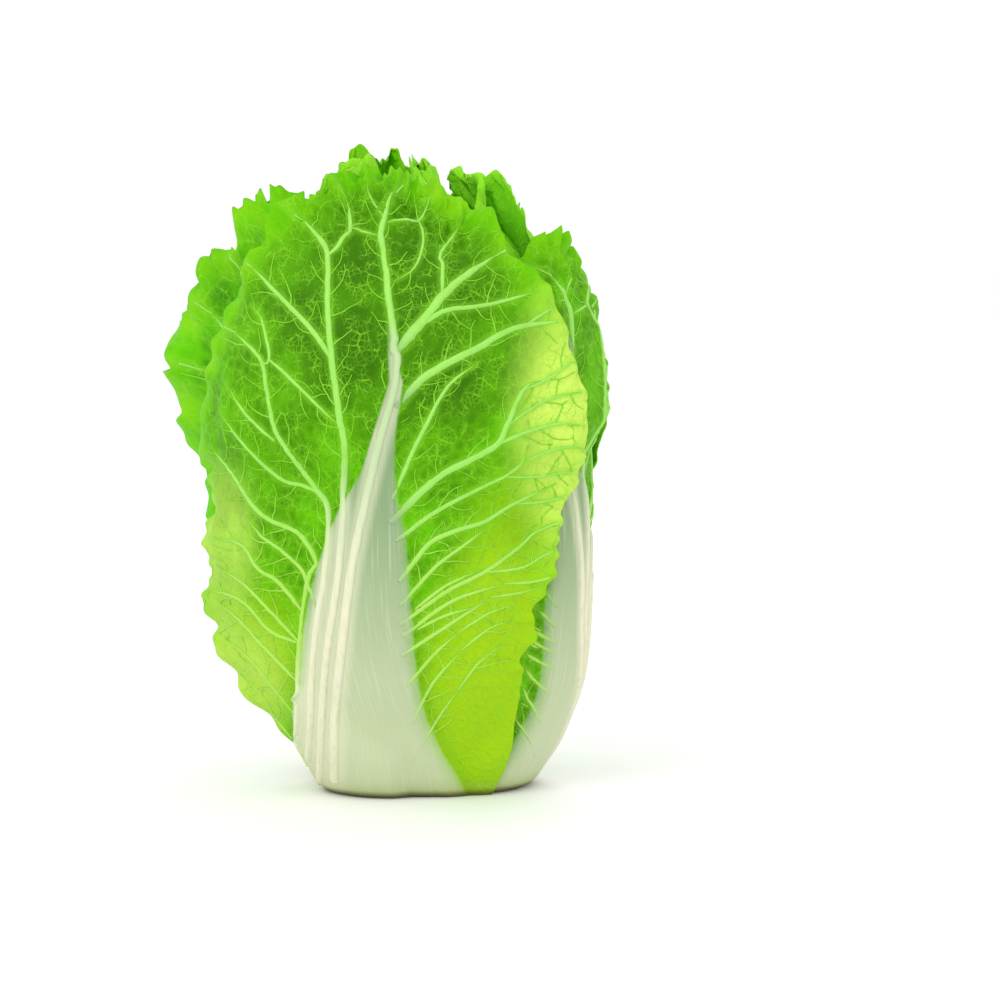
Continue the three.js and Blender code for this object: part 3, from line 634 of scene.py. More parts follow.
def leafSheet(leaf):
    # heights of the two faces with all their details, and the fields that the finish reads
    turn, s = sheetPlaces(leaf)
    form = leafForm(leaf, turn, s)
    x = (turn - leaf["turn"]) * degree * wrappedRadius(s)
    seed = leaf["seed"]
    rippleSeed, shakeSeed, puckerSeed, wrinkleSeed = (seed + more for more in relief["seeds"])
    near, margin = form["near"], form["margin"]
    fleshy = fleshyShare(form)
    ribGap = veinGap(leaf, turn, s, leaf["ribs"])
    gap = np.minimum(ribGap, veinGap(leaf, turn, s, leaf["veins"]))
    free = form["open"] * ease(*relief["free"], form["length"])

    wander = fineMargin["rippleDrift"] * drift(margin / fineMargin["rippleWander"], rippleSeed)
    ripple = 0.5 + 0.5 * np.sin(margin / fineMargin["rippleLength"] * 2 * math.pi + wander)
    ripple = ripple * leaf["ripple"] * ease(*fineMargin["rippleNear"], near) ** 2 * free
    billow = (0.5 + 0.5 * cloud(x / relief["billowSize"], s / relief["billowSize"], seed)) * relief["billow"]
    billow = billow * free * (1 - fleshy)
    bumps = blisters(x / relief["puckerSize"], s / relief["puckerSize"], puckerSeed)
    bumps = ease(0, relief["puckerRim"], bumps)
    pucker = relief["pucker"] * bumps * ease(*relief["puckerNear"], form["tip"] * near) * free
    inner = form["inner"] + ripple + billow + pucker

    swell = relief["swell"] * np.exp(-((gap / relief["swellReach"]) ** 2))
    shake = relief["wrinkleShake"] * cloud(x / relief["shakeSize"], s / relief["shakeSize"], shakeSeed)
    hollow = blisters(x / relief["wrinkleSize"] + shake, s / relief["wrinkleSize"], wrinkleSeed)
    wrinkle = relief["wrinkle"] * (1 - ease(0, relief["wrinkleRim"], hollow))
    detail = (swell + wrinkle) * (1 - fleshy) * free * (1 - ease(*relief["smoothNear"], near))
    foot = 1 - head["footShare"] * (1 - np.clip(form["z"] / head["footRound"], 0, 1)) ** 2
    thickness = mix(head["thickness"], fineMargin["edgeThickness"], ease(*fineMargin["thinNear"], near))
    outer = inner + (thickness + form["midrib"]) * foot + detail
    if "root" in leaf:
        sunk = coreHeight(s) - leaf["sink"]
        inner = mix(sunk, inner, ease(*relief["sunkNear"], near))
        grown = ease(leaf["root"], leaf["root"] + relief["grownRun"], form["length"])
        outer = mix(coreHeight(s) - relief["rootDip"], outer, grown)
        inner = mix(sunk, inner, grown)
    fields = {"veinGap": gap, "ribGap": ribGap, "fleshy": fleshy, "nearRim": near}
    plain = form["inner"] + (head["thickness"] + form["midrib"]) * foot
    return {"turn": turn, "s": s, "x": x, "inner": inner, "outer": outer, "plain": plain, "fields": fields}


def shellFaces(columns, rows, step):
    # faces of a closed shell: a fine outer grid, an inner grid that keeps every few places, and the rim
    outer = np.arange((columns + 1) * (rows + 1)).reshape(rows + 1, columns + 1)
    innerShape = (rows // step + 1, columns // step + 1)
    inner = outer.size + np.arange(innerShape[0] * innerShape[1]).reshape(innerShape)
    corners = lambda grid: [grid[:-1, :-1], grid[:-1, 1:], grid[1:, 1:], grid[1:, :-1]]
    quads = lambda grid: np.stack(corners(grid), -1).reshape(-1, 4)
    ring = lambda grid: np.concatenate([grid[0, :-1], grid[:-1, -1], grid[-1, :0:-1], grid[:0:-1, 0]])
    fine, coarse = ring(outer), ring(inner)
    rim = []
    for n, first in enumerate(coarse):
        second = coarse[(n + 1) % len(coarse)]
        edge = [int(fine[(n * step + k) % len(fine)]) for k in range(step + 1)]
        rim.append((int(first), int(second), edge[step // 2]))
        rim += [(int(first if k < step // 2 else second), edge[k + 1], edge[k]) for k in range(step)]
    return quads(outer).tolist() + quads(inner)[:, ::-1].tolist() + rim


def placedObject(name, data):
    made = bpy.data.objects.new(name, data)
    bpy.context.scene.collection.objects.link(made)
    return made


def pointFields(mesh, fields):
    for field, values in fields.items():
        mesh.attributes.new(field, "FLOAT", "POINT").data.foreach_set("value", values.astype(np.float32))


def meshPiece(name, points, faces, finish, fields=None, plane=None):
    mesh = bpy.data.meshes.new(name)
    mesh.from_pydata((points * millimetre).tolist(), [], faces)
    pointFields(mesh, fields or {})
    if plane is not None:
        corners = np.empty(len(mesh.loops), np.int32)
        mesh.loops.foreach_get("vertex_index", corners)
        layer = mesh.uv_layers.new(name="leaf")
        layer.data.foreach_set("uv", (plane * millimetre)[corners].astype(np.float32).ravel())
    mesh.shade_smooth()
    mesh.materials.append(finish)
    return placedObject(name, mesh)


innerStep = 4  # steps of the outer grid in one of the inner grid


def leafPiece(leaf, finish):
    sheet = leafSheet(leaf)
    step = innerStep
    cover(depth, sheet["turn"], sheet["s"], np.maximum(sheet["plain"], sheet["outer"]))
    keep = lambda grid: np.concatenate([grid.ravel(), grid[::step, ::step].ravel()])
    heights = np.concatenate([sheet["outer"].ravel(), sheet["inner"][::step, ::step].ravel()])
    points = headPoints(keep(sheet["turn"]), keep(sheet["s"]), heights)
    fields = {field: keep(values) for field, values in sheet["fields"].items()}
    fields.update(toneFields(leaf, points))
    plane = np.stack([keep(sheet["x"]), keep(sheet["s"])], -1)
    return meshPiece(leaf["piece"], points, shellFaces(*leaf["mesh"], step), finish, fields, plane)


toneNames = ("deep", "warm", "pale")
patchCore = 0.35  # share of a patch's reach that has its full tone


def toneFields(leaf, points):
    # how deep, warm and pale the green is: the leaf's own share, and patches given as they show, among them
    # painted shade and painted light
    shown = seenFromEye(points)
    tones = {}
    for tone in toneNames:
        share, patches = leaf["tones"].get(tone, (0, []))
        amount = np.full(len(points), float(share))
        for x, height, reachX, reachZ, strength in patches:
            off = np.hypot((shown[:, 0] - x) / reachX, (shown[:, 1] - height) / reachZ)
            amount += strength * (1 - ease(patchCore, 1, off))
        tones[tone] = np.clip(amount, 0, 1)
    return tones


class Socket:
    # an output in a node tree; arithmetic on it adds Math nodes
    def __init__(self, nodes, output):
        self.nodes = nodes
        self.output = output

    def maths(self, operation, *values):
        return self.nodes.node("ShaderNodeMath", values, operation=operation)

    def __add__(self, other):
        return self.maths("ADD", self, other)

    def __sub__(self, other):
        return self.maths("SUBTRACT", self, other)

    def __rsub__(self, other):
        return self.maths("SUBTRACT", other, self)

    def __mul__(self, other):
        return self.maths("MULTIPLY", self, other)

    __radd__ = __add__
    __rmul__ = __mul__


class Nodes:
    # a node tree whose nodes are added one by one
    def __init__(self, tree):
        self.tree = tree

    def node(self, kind, values=(), output=0, **settings):
        made = self.tree.nodes.new(kind)
        for setting, value in settings.items():
            setattr(made, setting, value)
        for key, value in values.items() if isinstance(values, dict) else enumerate(values):
            self.fill(made.inputs[key], value)
        return Socket(self, made.outputs[output])

    def fill(self, socket, value):
        if isinstance(value, Socket):
            self.tree.links.new(value.output, socket)
        else:
            socket.default_value = value

    def vector(self, operation, first, second):
        return self.node("ShaderNodeVectorMath", [first, second], operation=operation)


veinStrand = {
    "sides": 6,
    "sunk": 0.45,  # share of its half width that a vein's middle lies under the leaf's face
    "sunkRoot": 1.0, "rootShare": 0.3, "wider": 1.12,
    "above": 12,  # where the search for the leaf's face starts
    "paleRun": 34,
    "paleHalf": 2.5,  # half width of a root that is as pale as the flesh
    "paleShares": (0.4, 0.95), "lift": 0.2,
    "leastOpen": 0.02, "fullOpen": 0.3,  # how free of its cover a place has to be
    "rimEnd": 0.97, "rootEnd": 0.008, "youngRootEnd": 0.04,
    "fleshEdge": 0.3,  # share of flesh that veinlets stop at and roots begin to sink at
    "soften": 3,  # steps to each side
}


def strandTree():
    # turns lines over a leaf into round strands that lie on its face
    tree = bpy.data.node_groups.new("veinStrands", "GeometryNodeTree")
    kinds = {
        "Lines": "Geometry", "Leaf": "Object", "Sides": "Int", "Lift": "Float", "Search": "Float",
        "Finish": "Material",
    }
    names = {
        label: tree.interface.new_socket(label, socket_type="NodeSocket" + kind).identifier
        for label, kind in kinds.items()
    }
    tree.interface.new_socket("Strands", in_out="OUTPUT", socket_type="NodeSocketGeometry")
    nodes = Nodes(tree)
    entry = tree.nodes.new("NodeGroupInput")
    given = {label: Socket(nodes, entry.outputs[label]) for label in kinds}
    named = lambda name, kind: nodes.node("GeometryNodeInputNamedAttribute", {"Name": name}, data_type=kind)
    half, sunk, inward = named("halfWidth", "FLOAT"), named("sunk", "FLOAT"), named("inward", "FLOAT_VECTOR")
    leaf = nodes.node("GeometryNodeObjectInfo", {"Object": given["Leaf"]}, "Geometry")
    ray = {"Target Geometry": leaf, "Ray Direction": inward, "Ray Length": given["Search"]}
    hit = nodes.node("GeometryNodeRaycast", ray, "Is Hit")
    spot, normal = (Socket(nodes, hit.output.node.outputs[name]) for name in ("Hit Position", "Hit Normal"))
    depth = half * sunk - given["Lift"]
    down = nodes.node("ShaderNodeVectorMath", {0: normal, "Scale": depth}, operation="SCALE")
    missed = nodes.node("FunctionNodeBooleanMath", [hit], operation="NOT")
    lines = {"Geometry": given["Lines"], "Selection": missed}
    lines = nodes.node("GeometryNodeDeleteGeometry", lines, domain="POINT")
    curve = nodes.node("GeometryNodeMeshToCurve", {"Mesh": lines})
    spot = nodes.vector("SUBTRACT", spot, down)
    curve = nodes.node("GeometryNodeSetPosition", {"Geometry": curve, "Position": spot})
    ring = nodes.node("GeometryNodeCurvePrimitiveCircle", {"Resolution": given["Sides"]})
    shape = {"Curve": curve, "Profile Curve": ring, "Scale": half, "Fill Caps": True}
    strand = nodes.node("GeometryNodeCurveToMesh", shape)
    strand = nodes.node("GeometryNodeSetShadeSmooth", {"Geometry": strand})
    strand = nodes.node("GeometryNodeRealizeInstances", {"Geometry": strand})
    strand = nodes.node("GeometryNodeSetMaterial", {"Geometry": strand, "Material": given["Finish"]})
    leave = tree.nodes.new("NodeGroupOutput")
    tree.links.new(strand.output, leave.inputs[0])
    return tree, names


def applied(piece, tree, names, values):
    # runs a node tree on a piece and keeps the result as its plain mesh
    modifier = piece.modifiers.new(tree.name, "NODES")
    modifier.node_group = tree
    for label, value in values.items():
        modifier[names[label]] = value
    ready = piece.evaluated_get(bpy.context.evaluated_depsgraph_get())
    mesh = bpy.data.meshes.new_from_object(ready)
    piece.modifiers.clear()
    piece.data = mesh
    return piece


def veinPiece(leaf, leafObject, tree, names, finish):
    # every stretch of the leaf's veins that no other leaf covers
    points, edges, inward, details = [], [], [], []
    for kind in ("ribs", "veins", "veinlets"):
        for widths, placed in leaf[kind]:
            turn, s = placesOn(leaf, placed)
            form = leafForm(leaf, turn, s)
            outer = form["inner"] + head["thickness"] + form["midrib"]
            above = headPoints(turn, s, outer + veinStrand["above"])
            way = headPoints(turn, s, outer) - above
            rootEnd = leaf["root"] + veinStrand["youngRootEnd"] if "root" in leaf else veinStrand["rootEnd"]
            shown = (form["open"] > veinStrand["leastOpen"]) & (form["near"] < veinStrand["rimEnd"])
            shown &= form["length"] > rootEnd
            fleshy = fleshyShare(form)
            if kind == "veinlets":
                shown &= fleshy < veinStrand["fleshEdge"]
            half = widths * veinStrand["wider"] * ease(0, veinStrand["fullOpen"], form["open"])
            sunk = veinStrand["sunk"] + np.zeros(len(half))
            if kind != "ribs":
                # roots sink into the flesh that they grow from
                reach = veinStrand["soften"]
                window = np.full(2 * reach + 1, 1 / (2 * reach + 1))
                soft = np.convolve(np.pad(fleshy, reach, "edge"), window, "valid")
                rooted = ease(veinStrand["fleshEdge"], 1, soft)
                sunk = mix(sunk, veinStrand["sunkRoot"], rooted)
                half = half * mix(1, veinStrand["rootShare"], rooted)
            run = runAlong(above)
            inFlesh = np.nonzero(fleshy > veinStrand["fleshEdge"])[0]
            if len(inFlesh) and kind != "veinlets":
                # a vein stays pale for a while after it leaves the flesh
                most = np.clip(widths[0] / veinStrand["paleHalf"], *veinStrand["paleShares"])
                pale = most * (1 - (run - run[inFlesh[-1]]) / veinStrand["paleRun"])
                fleshy = np.maximum(fleshy, np.clip(pale, 0, most))
            for k in np.nonzero(shown)[0]:
                if k and shown[k - 1]:
                    edges.append((len(points) - 1, len(points)))
                points.append(above[k])
                inward.append(way[k])
                details.append((half[k] * millimetre, sunk[k], fleshy[k], kind == "ribs"))
    mesh = bpy.data.meshes.new(leaf["piece"] + "Veins")
    mesh.from_pydata((np.array(points) * millimetre).tolist(), edges, [])
    pointFields(mesh, dict(zip(("halfWidth", "sunk", "fleshy", "rib"), np.array(details, float).T)))
    ways = mesh.attributes.new("inward", "FLOAT_VECTOR", "POINT")
    ways.data.foreach_set("vector", np.array(inward, np.float32).ravel())
    return applied(placedObject(mesh.name, mesh), tree, names, {
        "Leaf": leafObject, "Sides": veinStrand["sides"], "Lift": veinStrand["lift"] * millimetre,
        "Search": 2 * veinStrand["above"] * millimetre, "Finish": finish,
    })


# finishes
class Finish(Nodes):
    # a material
    def __init__(self, name):
        self.material = bpy.data.materials.new(name)
        self.material.use_nodes = True
        super().__init__(self.material.node_tree)
        self.shader = self.tree.nodes["Principled BSDF"]

    def place(self):
        # where a point is, and its height in millimetres
        spot = self.node("ShaderNodeTexCoord", output="Object")
        return spot, self.node("ShaderNodeSeparateXYZ", [spot], "Z") * 1000

    def field(self, name):
        return self.node("ShaderNodeAttribute", output="Fac", attribute_name=name)

    def band(self, value, low, high):
        # 0 at low, 1 at high and smooth in between
        values = {"Value": value, "From Min": low, "From Max": high}
        return self.node("ShaderNodeMapRange", values, interpolation_type="SMOOTHSTEP")

    def fade(self, value, low, high):
        return 1 - self.band(value, low, high)

    def blend(self, share, first, second):
        values = {0: share, 6: first, 7: second}
        return self.node("ShaderNodeMix", values, 2, data_type="RGBA", clamp_factor=True)

    def paint(self, skin, *coats):
        # coats of colour over a colour, each with its share
        for share, coat in coats:
            skin = self.blend(share, skin, coat)
        return skin

    def scaled(self, vector, sizes):
        return self.vector("MULTIPLY", vector, sizes)

    def noise(self, vector, scale, detail, output="Fac"):
        return self.node("ShaderNodeTexNoise", {"Vector": vector, "Scale": scale, "Detail": detail}, output)

    def patches(self, vector, scale, detail, low, high):
        return self.band(self.noise(vector, scale, detail), low, high)

    def cellEdge(self, vector, size):
        # how far a place is from the edge of its cell, in cells
        values = {"Vector": vector, "Scale": 1000 / size}
        settings = {"voronoi_dimensions": "2D", "feature": "DISTANCE_TO_EDGE"}
        return self.node("ShaderNodeTexVoronoi", values, "Distance", **settings)

    def bump(self, strength, distance, rise):
        return self.node("ShaderNodeBump", {"Strength": strength, "Distance": distance, "Height": rise})

    def surface(self, **values):
        for name, value in values.items():
            words = "".join(" " + c if c.isupper() else c for c in name).replace("I O R", "IOR")
            self.fill(self.shader.inputs[words[0].upper() + words[1:]], value)


def colour(text):
    # a colour from its six hex digits, as seen on a screen
    channels = [int(text[k : k + 2], 16) / 255 for k in (0, 2, 4)]
    return tuple(c / 12.92 if c <= 0.04045 else ((c + 0.055) / 1.055) ** 2.4 for c in channels) + (1,)


def colours(**texts):
    return {name: colour(text) for name, text in texts.items()}


leafLook = colours(
    blade="50a600", deep="165e00", warm="9cca14", pale="c8e860", bright="6cd400", net="84cc2c",
    vein="9cdc62", veinLow="b8dc58", petiole="84a074", petioleRoot="c0cba5", rib="e4e2c6",
    ribTop="a9cc90", base="a2ac4c", cut="4c4a16",
)
youngLook = leafLook | colours(
    blade="6ccc00", deep="48b000", warm="90d81c", pale="c8ec70", bright="7cdc00", net="8cdc24",
    vein="b4ec70",
)
tissue = {
    "netSize": 5.2, "fineNetSize": 2.1,
    "netLine": (0.015, 0.085),  # bands of distance from a cell's edge, in cells
    "fineLine": (0.02, 0.14), "cell": (0.1, 0.45), "netRise": (0, 0.2), "fineRise": (0, 0.3),
    "shakeScale": 110,  # waves per metre
    "shakeReach": 0.004,
    "mottle": (42, 3, 0.38, 0.66),  # noises: waves per metre, detail and the band that is seen
    "speck": (420, 3, 0.42, 0.62), "patchy": (140, 2, 0.35, 0.65), "grainScale": 1500,
    "streakScale": 900, "streakLength": 0.03, "streakBand": (0.5, 0.75), "veinStreakScale": 700,
    "veinStreakLength": 0.08, "veinStreakBand": (0.4, 0.7), "veinMottleScale": 160,
    "thinVein": (0.0002, 0.0007),  # metres
    "halo": (0, 2.2),  # millimetres off a vein and off a rib
    # rim: band of nearness to a leaf's margin that carries the painted highlight
    "beside": (0, 5), "fleshy": (0.1, 0.8), "fleshyVein": (0.2, 0.9), "rim": (0.84, 0.99),
    "petioleHeights": (20, 150), "baseHeights": (1, 11), "cutHeights": (0.8, 4),
    "veinLowHeights": (60, 150), "ribHeights": (80, 175),
}
coats = {  # how strongly each colour goes over those before it
    "mottle": 0.5,
    "mottleOnDeep": 0.32,  # how much less of it there is on deep green
    "cells": 0.5,
    "specks": 0.14,
    # painted highlight along the leaves' margins, bright green and a warm tint on the mottle
    "paintedRimHighlight": 0.6,
    "warmRim": 0.35,
    "pale": 0.75,
    "paleMottle": 0.25,
    "net": 0.45,
    "fineNet": 0.4,
    "halo": 0.35,
    "streaks": 0.25,
    "besideRibs": 0.45,
    "base": 0.4,
    "cut": 0.8,
    "veinMottle": 0.3,
    "veinLow": 0.6,
    "veinFlesh": 0.35,
    "ribStreaks": 0.3,
    "ribTop": 0.75,
}
touch = {
    "net": 0.2,  # heights of the bumps
    "fineNet": 0.08,
    "streaks": 0.08,
    "grain": 0.02,
    "veinMottle": 0.5,
    "leafBump": (1.0, 0.001),  # strength, and metres for a height of 1
    "veinBump": (0.6, 0.0004),
    "roughness": 0.5,
    "smoother": 0.1,  # on flesh and on the streaks of veins
    "leafShine": 0.06,
    "veinShine": 0.12,
}


def leafFinish(name, look):
    finish = Finish(name)
    plane = finish.node("ShaderNodeUVMap", uv_map="leaf")
    _, height = finish.place()
    shake = finish.noise(plane, tissue["shakeScale"], 2, "Color")
    shake = finish.vector("SUBTRACT", shake, (0.5, 0.5, 0.5))
    shake = finish.scaled(shake, (tissue["shakeReach"], tissue["shakeReach"], 0))
    shaken = finish.vector("ADD", plane, shake)
    net = finish.cellEdge(shaken, tissue["netSize"])
    fineNet = finish.cellEdge(shaken, tissue["fineNetSize"])
    netLine = finish.fade(net, *tissue["netLine"])
    fineLine = finish.fade(fineNet, *tissue["fineLine"])
    halo = finish.fade(finish.field("veinGap"), *tissue["halo"])
    fleshy = finish.band(finish.field("fleshy"), *tissue["fleshy"])
    mottle, speck, patchy = (finish.patches(plane, *tissue[kind]) for kind in ("mottle", "speck", "patchy"))
    cell = finish.band(net, *tissue["cell"])
    # the band along a leaf's margin where the painted highlight goes
    rim = finish.band(finish.field("nearRim"), *tissue["rim"])
    deep = finish.field("deep")
    green = finish.paint(
        look["blade"],
        (deep, look["deep"]),
        (mottle * (coats["mottle"] - deep * coats["mottleOnDeep"]), look["bright"]),
        (cell * (1 - mottle) * coats["cells"] + speck * coats["specks"], look["deep"]),
        # painted highlight along the margin, bright and then warm-tinted where the mottle is
        (rim * coats["paintedRimHighlight"], look["bright"]),
        (rim * mottle * coats["warmRim"], look["warm"]),
        (finish.field("warm"), look["warm"]),
        (finish.field("pale") * (coats["pale"] + mottle * coats["paleMottle"]), look["pale"]),
        ((netLine * coats["net"] + fineLine * coats["fineNet"]) * patchy, look["net"]),
        (halo * coats["halo"], look["net"]),
    )

    streak = finish.scaled(plane, (1, tissue["streakLength"], 1))
    streak = finish.noise(streak, tissue["streakScale"], 2)
    beside = finish.fade(finish.field("ribGap"), *tissue["beside"])
    flesh = finish.paint(
        look["petioleRoot"],
        (finish.band(height, *tissue["petioleHeights"]), look["petiole"]),
        (finish.band(streak, *tissue["streakBand"]) * coats["streaks"], look["rib"]),
        (beside * coats["besideRibs"], look["rib"]),
    )
    skin = finish.paint(
        green,
        (fleshy, flesh),
        (finish.fade(height, *tissue["baseHeights"]) * coats["base"], look["base"]),
        (finish.fade(height, *tissue["cutHeights"]) * coats["cut"], look["cut"]),
    )

    blade = 1 - fleshy
    rise = finish.fade(net, *tissue["netRise"]) * blade * touch["net"]
    rise = rise + finish.fade(fineNet, *tissue["fineRise"]) * blade * touch["fineNet"]
    rise = rise + streak * fleshy * touch["streaks"]
    rise = rise + finish.noise(plane, tissue["grainScale"], 2) * touch["grain"]
    finish.surface(
        baseColor=skin, roughness=touch["roughness"] - fleshy * touch["smoother"],
        normal=finish.bump(*touch["leafBump"], rise), specularIORLevel=touch["leafShine"],
    )
    return finish.material


def veinFinish(name, look):
    finish = Finish(name)
    spot, height = finish.place()
    streak = finish.scaled(spot, (1, 1, tissue["veinStreakLength"]))
    streak = finish.noise(streak, tissue["veinStreakScale"], 2)
    streaked = finish.band(streak, *tissue["veinStreakBand"])
    mottle = finish.noise(spot, tissue["veinMottleScale"], 3)
    green = finish.paint(
        look["net"],
        (finish.band(finish.field("halfWidth"), *tissue["thinVein"]), look["vein"]),
        (finish.band(mottle, *tissue["veinStreakBand"]) * coats["veinMottle"], look["net"]),
        (finish.fade(height, *tissue["veinLowHeights"]) * coats["veinLow"], look["veinLow"]),
    )
    flesh = finish.paint(
        look["petioleRoot"],
        (finish.band(height, *tissue["petioleHeights"]), look["petiole"]),
        (coats["veinFlesh"], look["ribTop"]),
    )
    cream = finish.paint(
        look["rib"],
        (streaked * coats["ribStreaks"], look["petioleRoot"]),
        (finish.band(height, *tissue["ribHeights"]) * coats["ribTop"], look["ribTop"]),
    )
    flesh = finish.blend(finish.field("rib"), flesh, cream)
    skin = finish.paint(
        green,
        (finish.band(finish.field("fleshy"), *tissue["fleshyVein"]), flesh),
        (finish.fade(height, *tissue["cutHeights"]) * coats["cut"], look["cut"]),
    )
    finish.surface(
        baseColor=skin, roughness=touch["roughness"] - streak * touch["smoother"],
        normal=finish.bump(*touch["veinBump"], streak + mottle * touch["veinMottle"]),
        specularIORLevel=touch["veinShine"],
    )
    return finish.material


wrapperFinish = leafFinish("wrapperLeaf", leafLook)
youngFinish = leafFinish("youngLeaf", youngLook)

# the leaves, from the heart outwards, as the solids have them
heartRows = [
    # turn, flip, reach, width, lifts of the sides and the tip, wave, seed and the solid's grid
    (20, 1, 0.99, 0.7, (2, 2, 3), 3, 15, (9, 7)),
    (157, -1, 0.985, 0.75, (2, 2, 5), 3.5, 14, (9, 7)),
    (-65, 1, 0.955, 0.8, (5, 2, 9), 4, 13, (9, 7)),
    (72, -1, 0.94, 0.8, (2, 3, 4), 3, 12, (9, 7)),
    (-150, 1, 0.955, 0.85, (2, 2, 6), 4, 11, (9, 7)),
    (106, -1, 0.93, 0.86, (2, 3, 4), 3, 10, (12, 8)),
    (-34, 1, 0.945, 0.86, (8, 2, 12), 4.5, 9, (12, 8)),
]
heartLeaves = [
    dict(
        zip(("turn", "flip", "reach", "wide", "lift", "wave", "seed", "cells"), row),
        piece=f"heartLeaf{number}", node="heart", root=0.62, sink=2.5, mesh=(120, 80), ripple=2.0,
        tones={"warm": (0.25, []), "pale": (0.15, [])},
    )
    for number, row in enumerate(heartRows, 1)
]
wrapperLeaves = [
    {
        "piece": "leafBack", "node": "leaf_back", "turn": -170, "flip": -1, "reach": 0.92, "wide": 0.95,
        "lift": (4, 4, 12), "wave": 6, "seed": 5, "cells": (16, 17), "mesh": (200, 220), "ripple": 2.4,
        "tones": {"deep": (0.25, []), "warm": (0.1, [])},
    },
    {
        "piece": "leafLeft", "node": "leaf_left", "turn": -58, "flip": 1, "reach": 0.84, "wide": 0.76,
        "lift": (22, 3, 19), "trim": (1.3, 1), "clear": (1.12, 1.5),
        "points": [(-86, 9, 5), (-99, 7, 3.5), (-112, 9, 5.5), (-128, 8, 4), (-141, 7, 4)], "ragged": 2.2,
        "wave": 5, "seed": 4, "cells": (17, 18), "mesh": (200, 240), "ripple": 2.0,
        # the deep patch is painted shade in the fold under the rolled lobes, by the front leaf's margin
        "tones": {"deep": (0.0, [(-99, 228, 24, 30, 0.7)])},
    },
    {
        "piece": "leafRight", "node": "leaf_right", "turn": 62, "flip": -1, "reach": 0.79, "wide": 1,
        "lift": (0, 2, 1), "wave": 4, "seed": 3, "cells": (17, 18), "mesh": (220, 240), "ripple": 2.2,
        "tones": {"deep": (0.3, []), "warm": (0.1, [])},
    },
    {
        "piece": "leafBackRight", "node": "leaf_back_right", "turn": 160, "flip": -1, "reach": 0.87,
        "wide": 0.76, "lift": (2, 3, 3), "wave": 3, "seed": 2, "cells": (16, 18), "mesh": (200, 220),
        "ripple": 2.2, "tones": {"deep": (0.2, []), "warm": (0.1, [])},
    },
    {
        "piece": "leafFront", "node": "leaf_front", "turn": -10, "flip": 1, "reach": 0.92, "wide": 1,
        "lift": (2, 1, 4), "flare": 5, "trim": (0.95, 1.12),
        "points": [
            (-128, 6, 3), (-140, 7, 3.5), (-156, 12, 6.5), (-165, 4, 3), (-174, 6, 3.5), (-186, 9, 6),
            (-194, 4, 3), (-202, 7, 5), (-213, 6, 4), (-224, 5, 3),
        ],
        "wave": 4.5, "seed": 1, "cells": (23, 25), "mesh": (280, 300), "ripple": 2.2,
        "tones": {
            "deep": (0.16, [(-22, 206, 78, 74, 0.85), (-78, 140, 28, 42, 0.35), (20, 175, 30, 20, 0.25)]),
            "warm": (0.1, [
                (25, 40, 42, 80, 0.9), (-80, 50, 34, 50, 0.6), (45, 105, 42, 50, 0.5),
                (62, 170, 22, 50, 0.4),
            ]),
            # the first pale patch, on the rolled right margin, is the margin's own paler green with painted
            # light on it
            "pale": (0.0, [(63, 160, 36, 80, 1.0), (-92, 105, 20, 46, 0.6), (-84, 45, 27, 38, 0.6)]),
        },
    },
]

leaves = heartLeaves + wrapperLeaves
for number, leaf in enumerate(leaves):
    leaf["covers"] = leaves[number + 1 :]
ribLines = [lineOfVein(*rib) for rib in ribs]
veinLines = []
for vein in veins:
    veinLines.append(lineOfVein(*vein, [spots for spots, _ in ribLines + veinLines]))
veinletLines = veinletsOf(ribLines + veinLines, np.random.default_rng(veinGrowth["seed"]))
frontLeaf = wrapperLeaves[-1]
usual = dict(frontLeaf, support=np.full((turnCells, sideCells), head["wrapDepth"] / 2))
kindsOfVein = {"ribs": ribLines, "veins": veinLines, "veinlets": veinletLines}
usualPaths = {kind: patternPaths(lines, usual) for kind, lines in kindsOfVein.items()}
strands, strandInputs = strandTree()
wrapperVeins, youngVeins = veinFinish("wrapperVein", leafLook), veinFinish("youngVein", youngLook)
print("vein pattern placed:", len(veinLines), "veins and", len(veinletLines), "veinlets")

for leaf in leaves:
    leaf["support"] = supportFor(leaf, depth)
    young = leaf["node"] == "heart"
    leaf.update(usualPaths)
    if leaf is frontLeaf:
        leaf.update({kind: patternPaths(lines, leaf) for kind, lines in kindsOfVein.items()})
    piece = leafPiece(leaf, youngFinish if young else wrapperFinish)
    veins = veinPiece(leaf, piece, strands, strandInputs, youngVeins if young else wrapperVeins)
    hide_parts(leaf["node"])
    for made in (piece, veins):
        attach(made, "root")
    print("leaf made:", leaf["piece"], len(piece.data.polygons), len(veins.data.polygons))


# the heart's core and the stem, turned about the head's axis
stem = {
    "side": [(33.5, 0), (34.2, 4), (32.5, 12), (27, 28), (20, 46), (12, 60), (5, 69), (0, 72)],
    "gap": 0.4,
    "heartFoot": 8,  # the core begins at this height, round the stem
    "segments": 160, "coreRows": 110,
    "coreFolds": 2.4,  # depth of the folds of the innermost leaves
    "foldSize": 15, "foldCount": 9, "foldSlant": 9,
    "foldSwirl": (30, 20, 3, 81),  # reach round the axis and up it, strength and seed
    "foldFree": (4, 20), "foldSides": (170, 215), "weld": 0.01,
}
flesh = {
    "fibreScale": 700, "fibreLength": 0.1, "fibreBand": (0.4, 0.7),
    "ringPatches": (60, 3, 0.4, 0.62), "topHeights": (222, 262), "cutHeights": (0.3, 2.5),
    "fibreCoat": 0.4, "ringCoat": 0.5, "bump": (0.6, 0.0006), "roughness": 0.5,
}


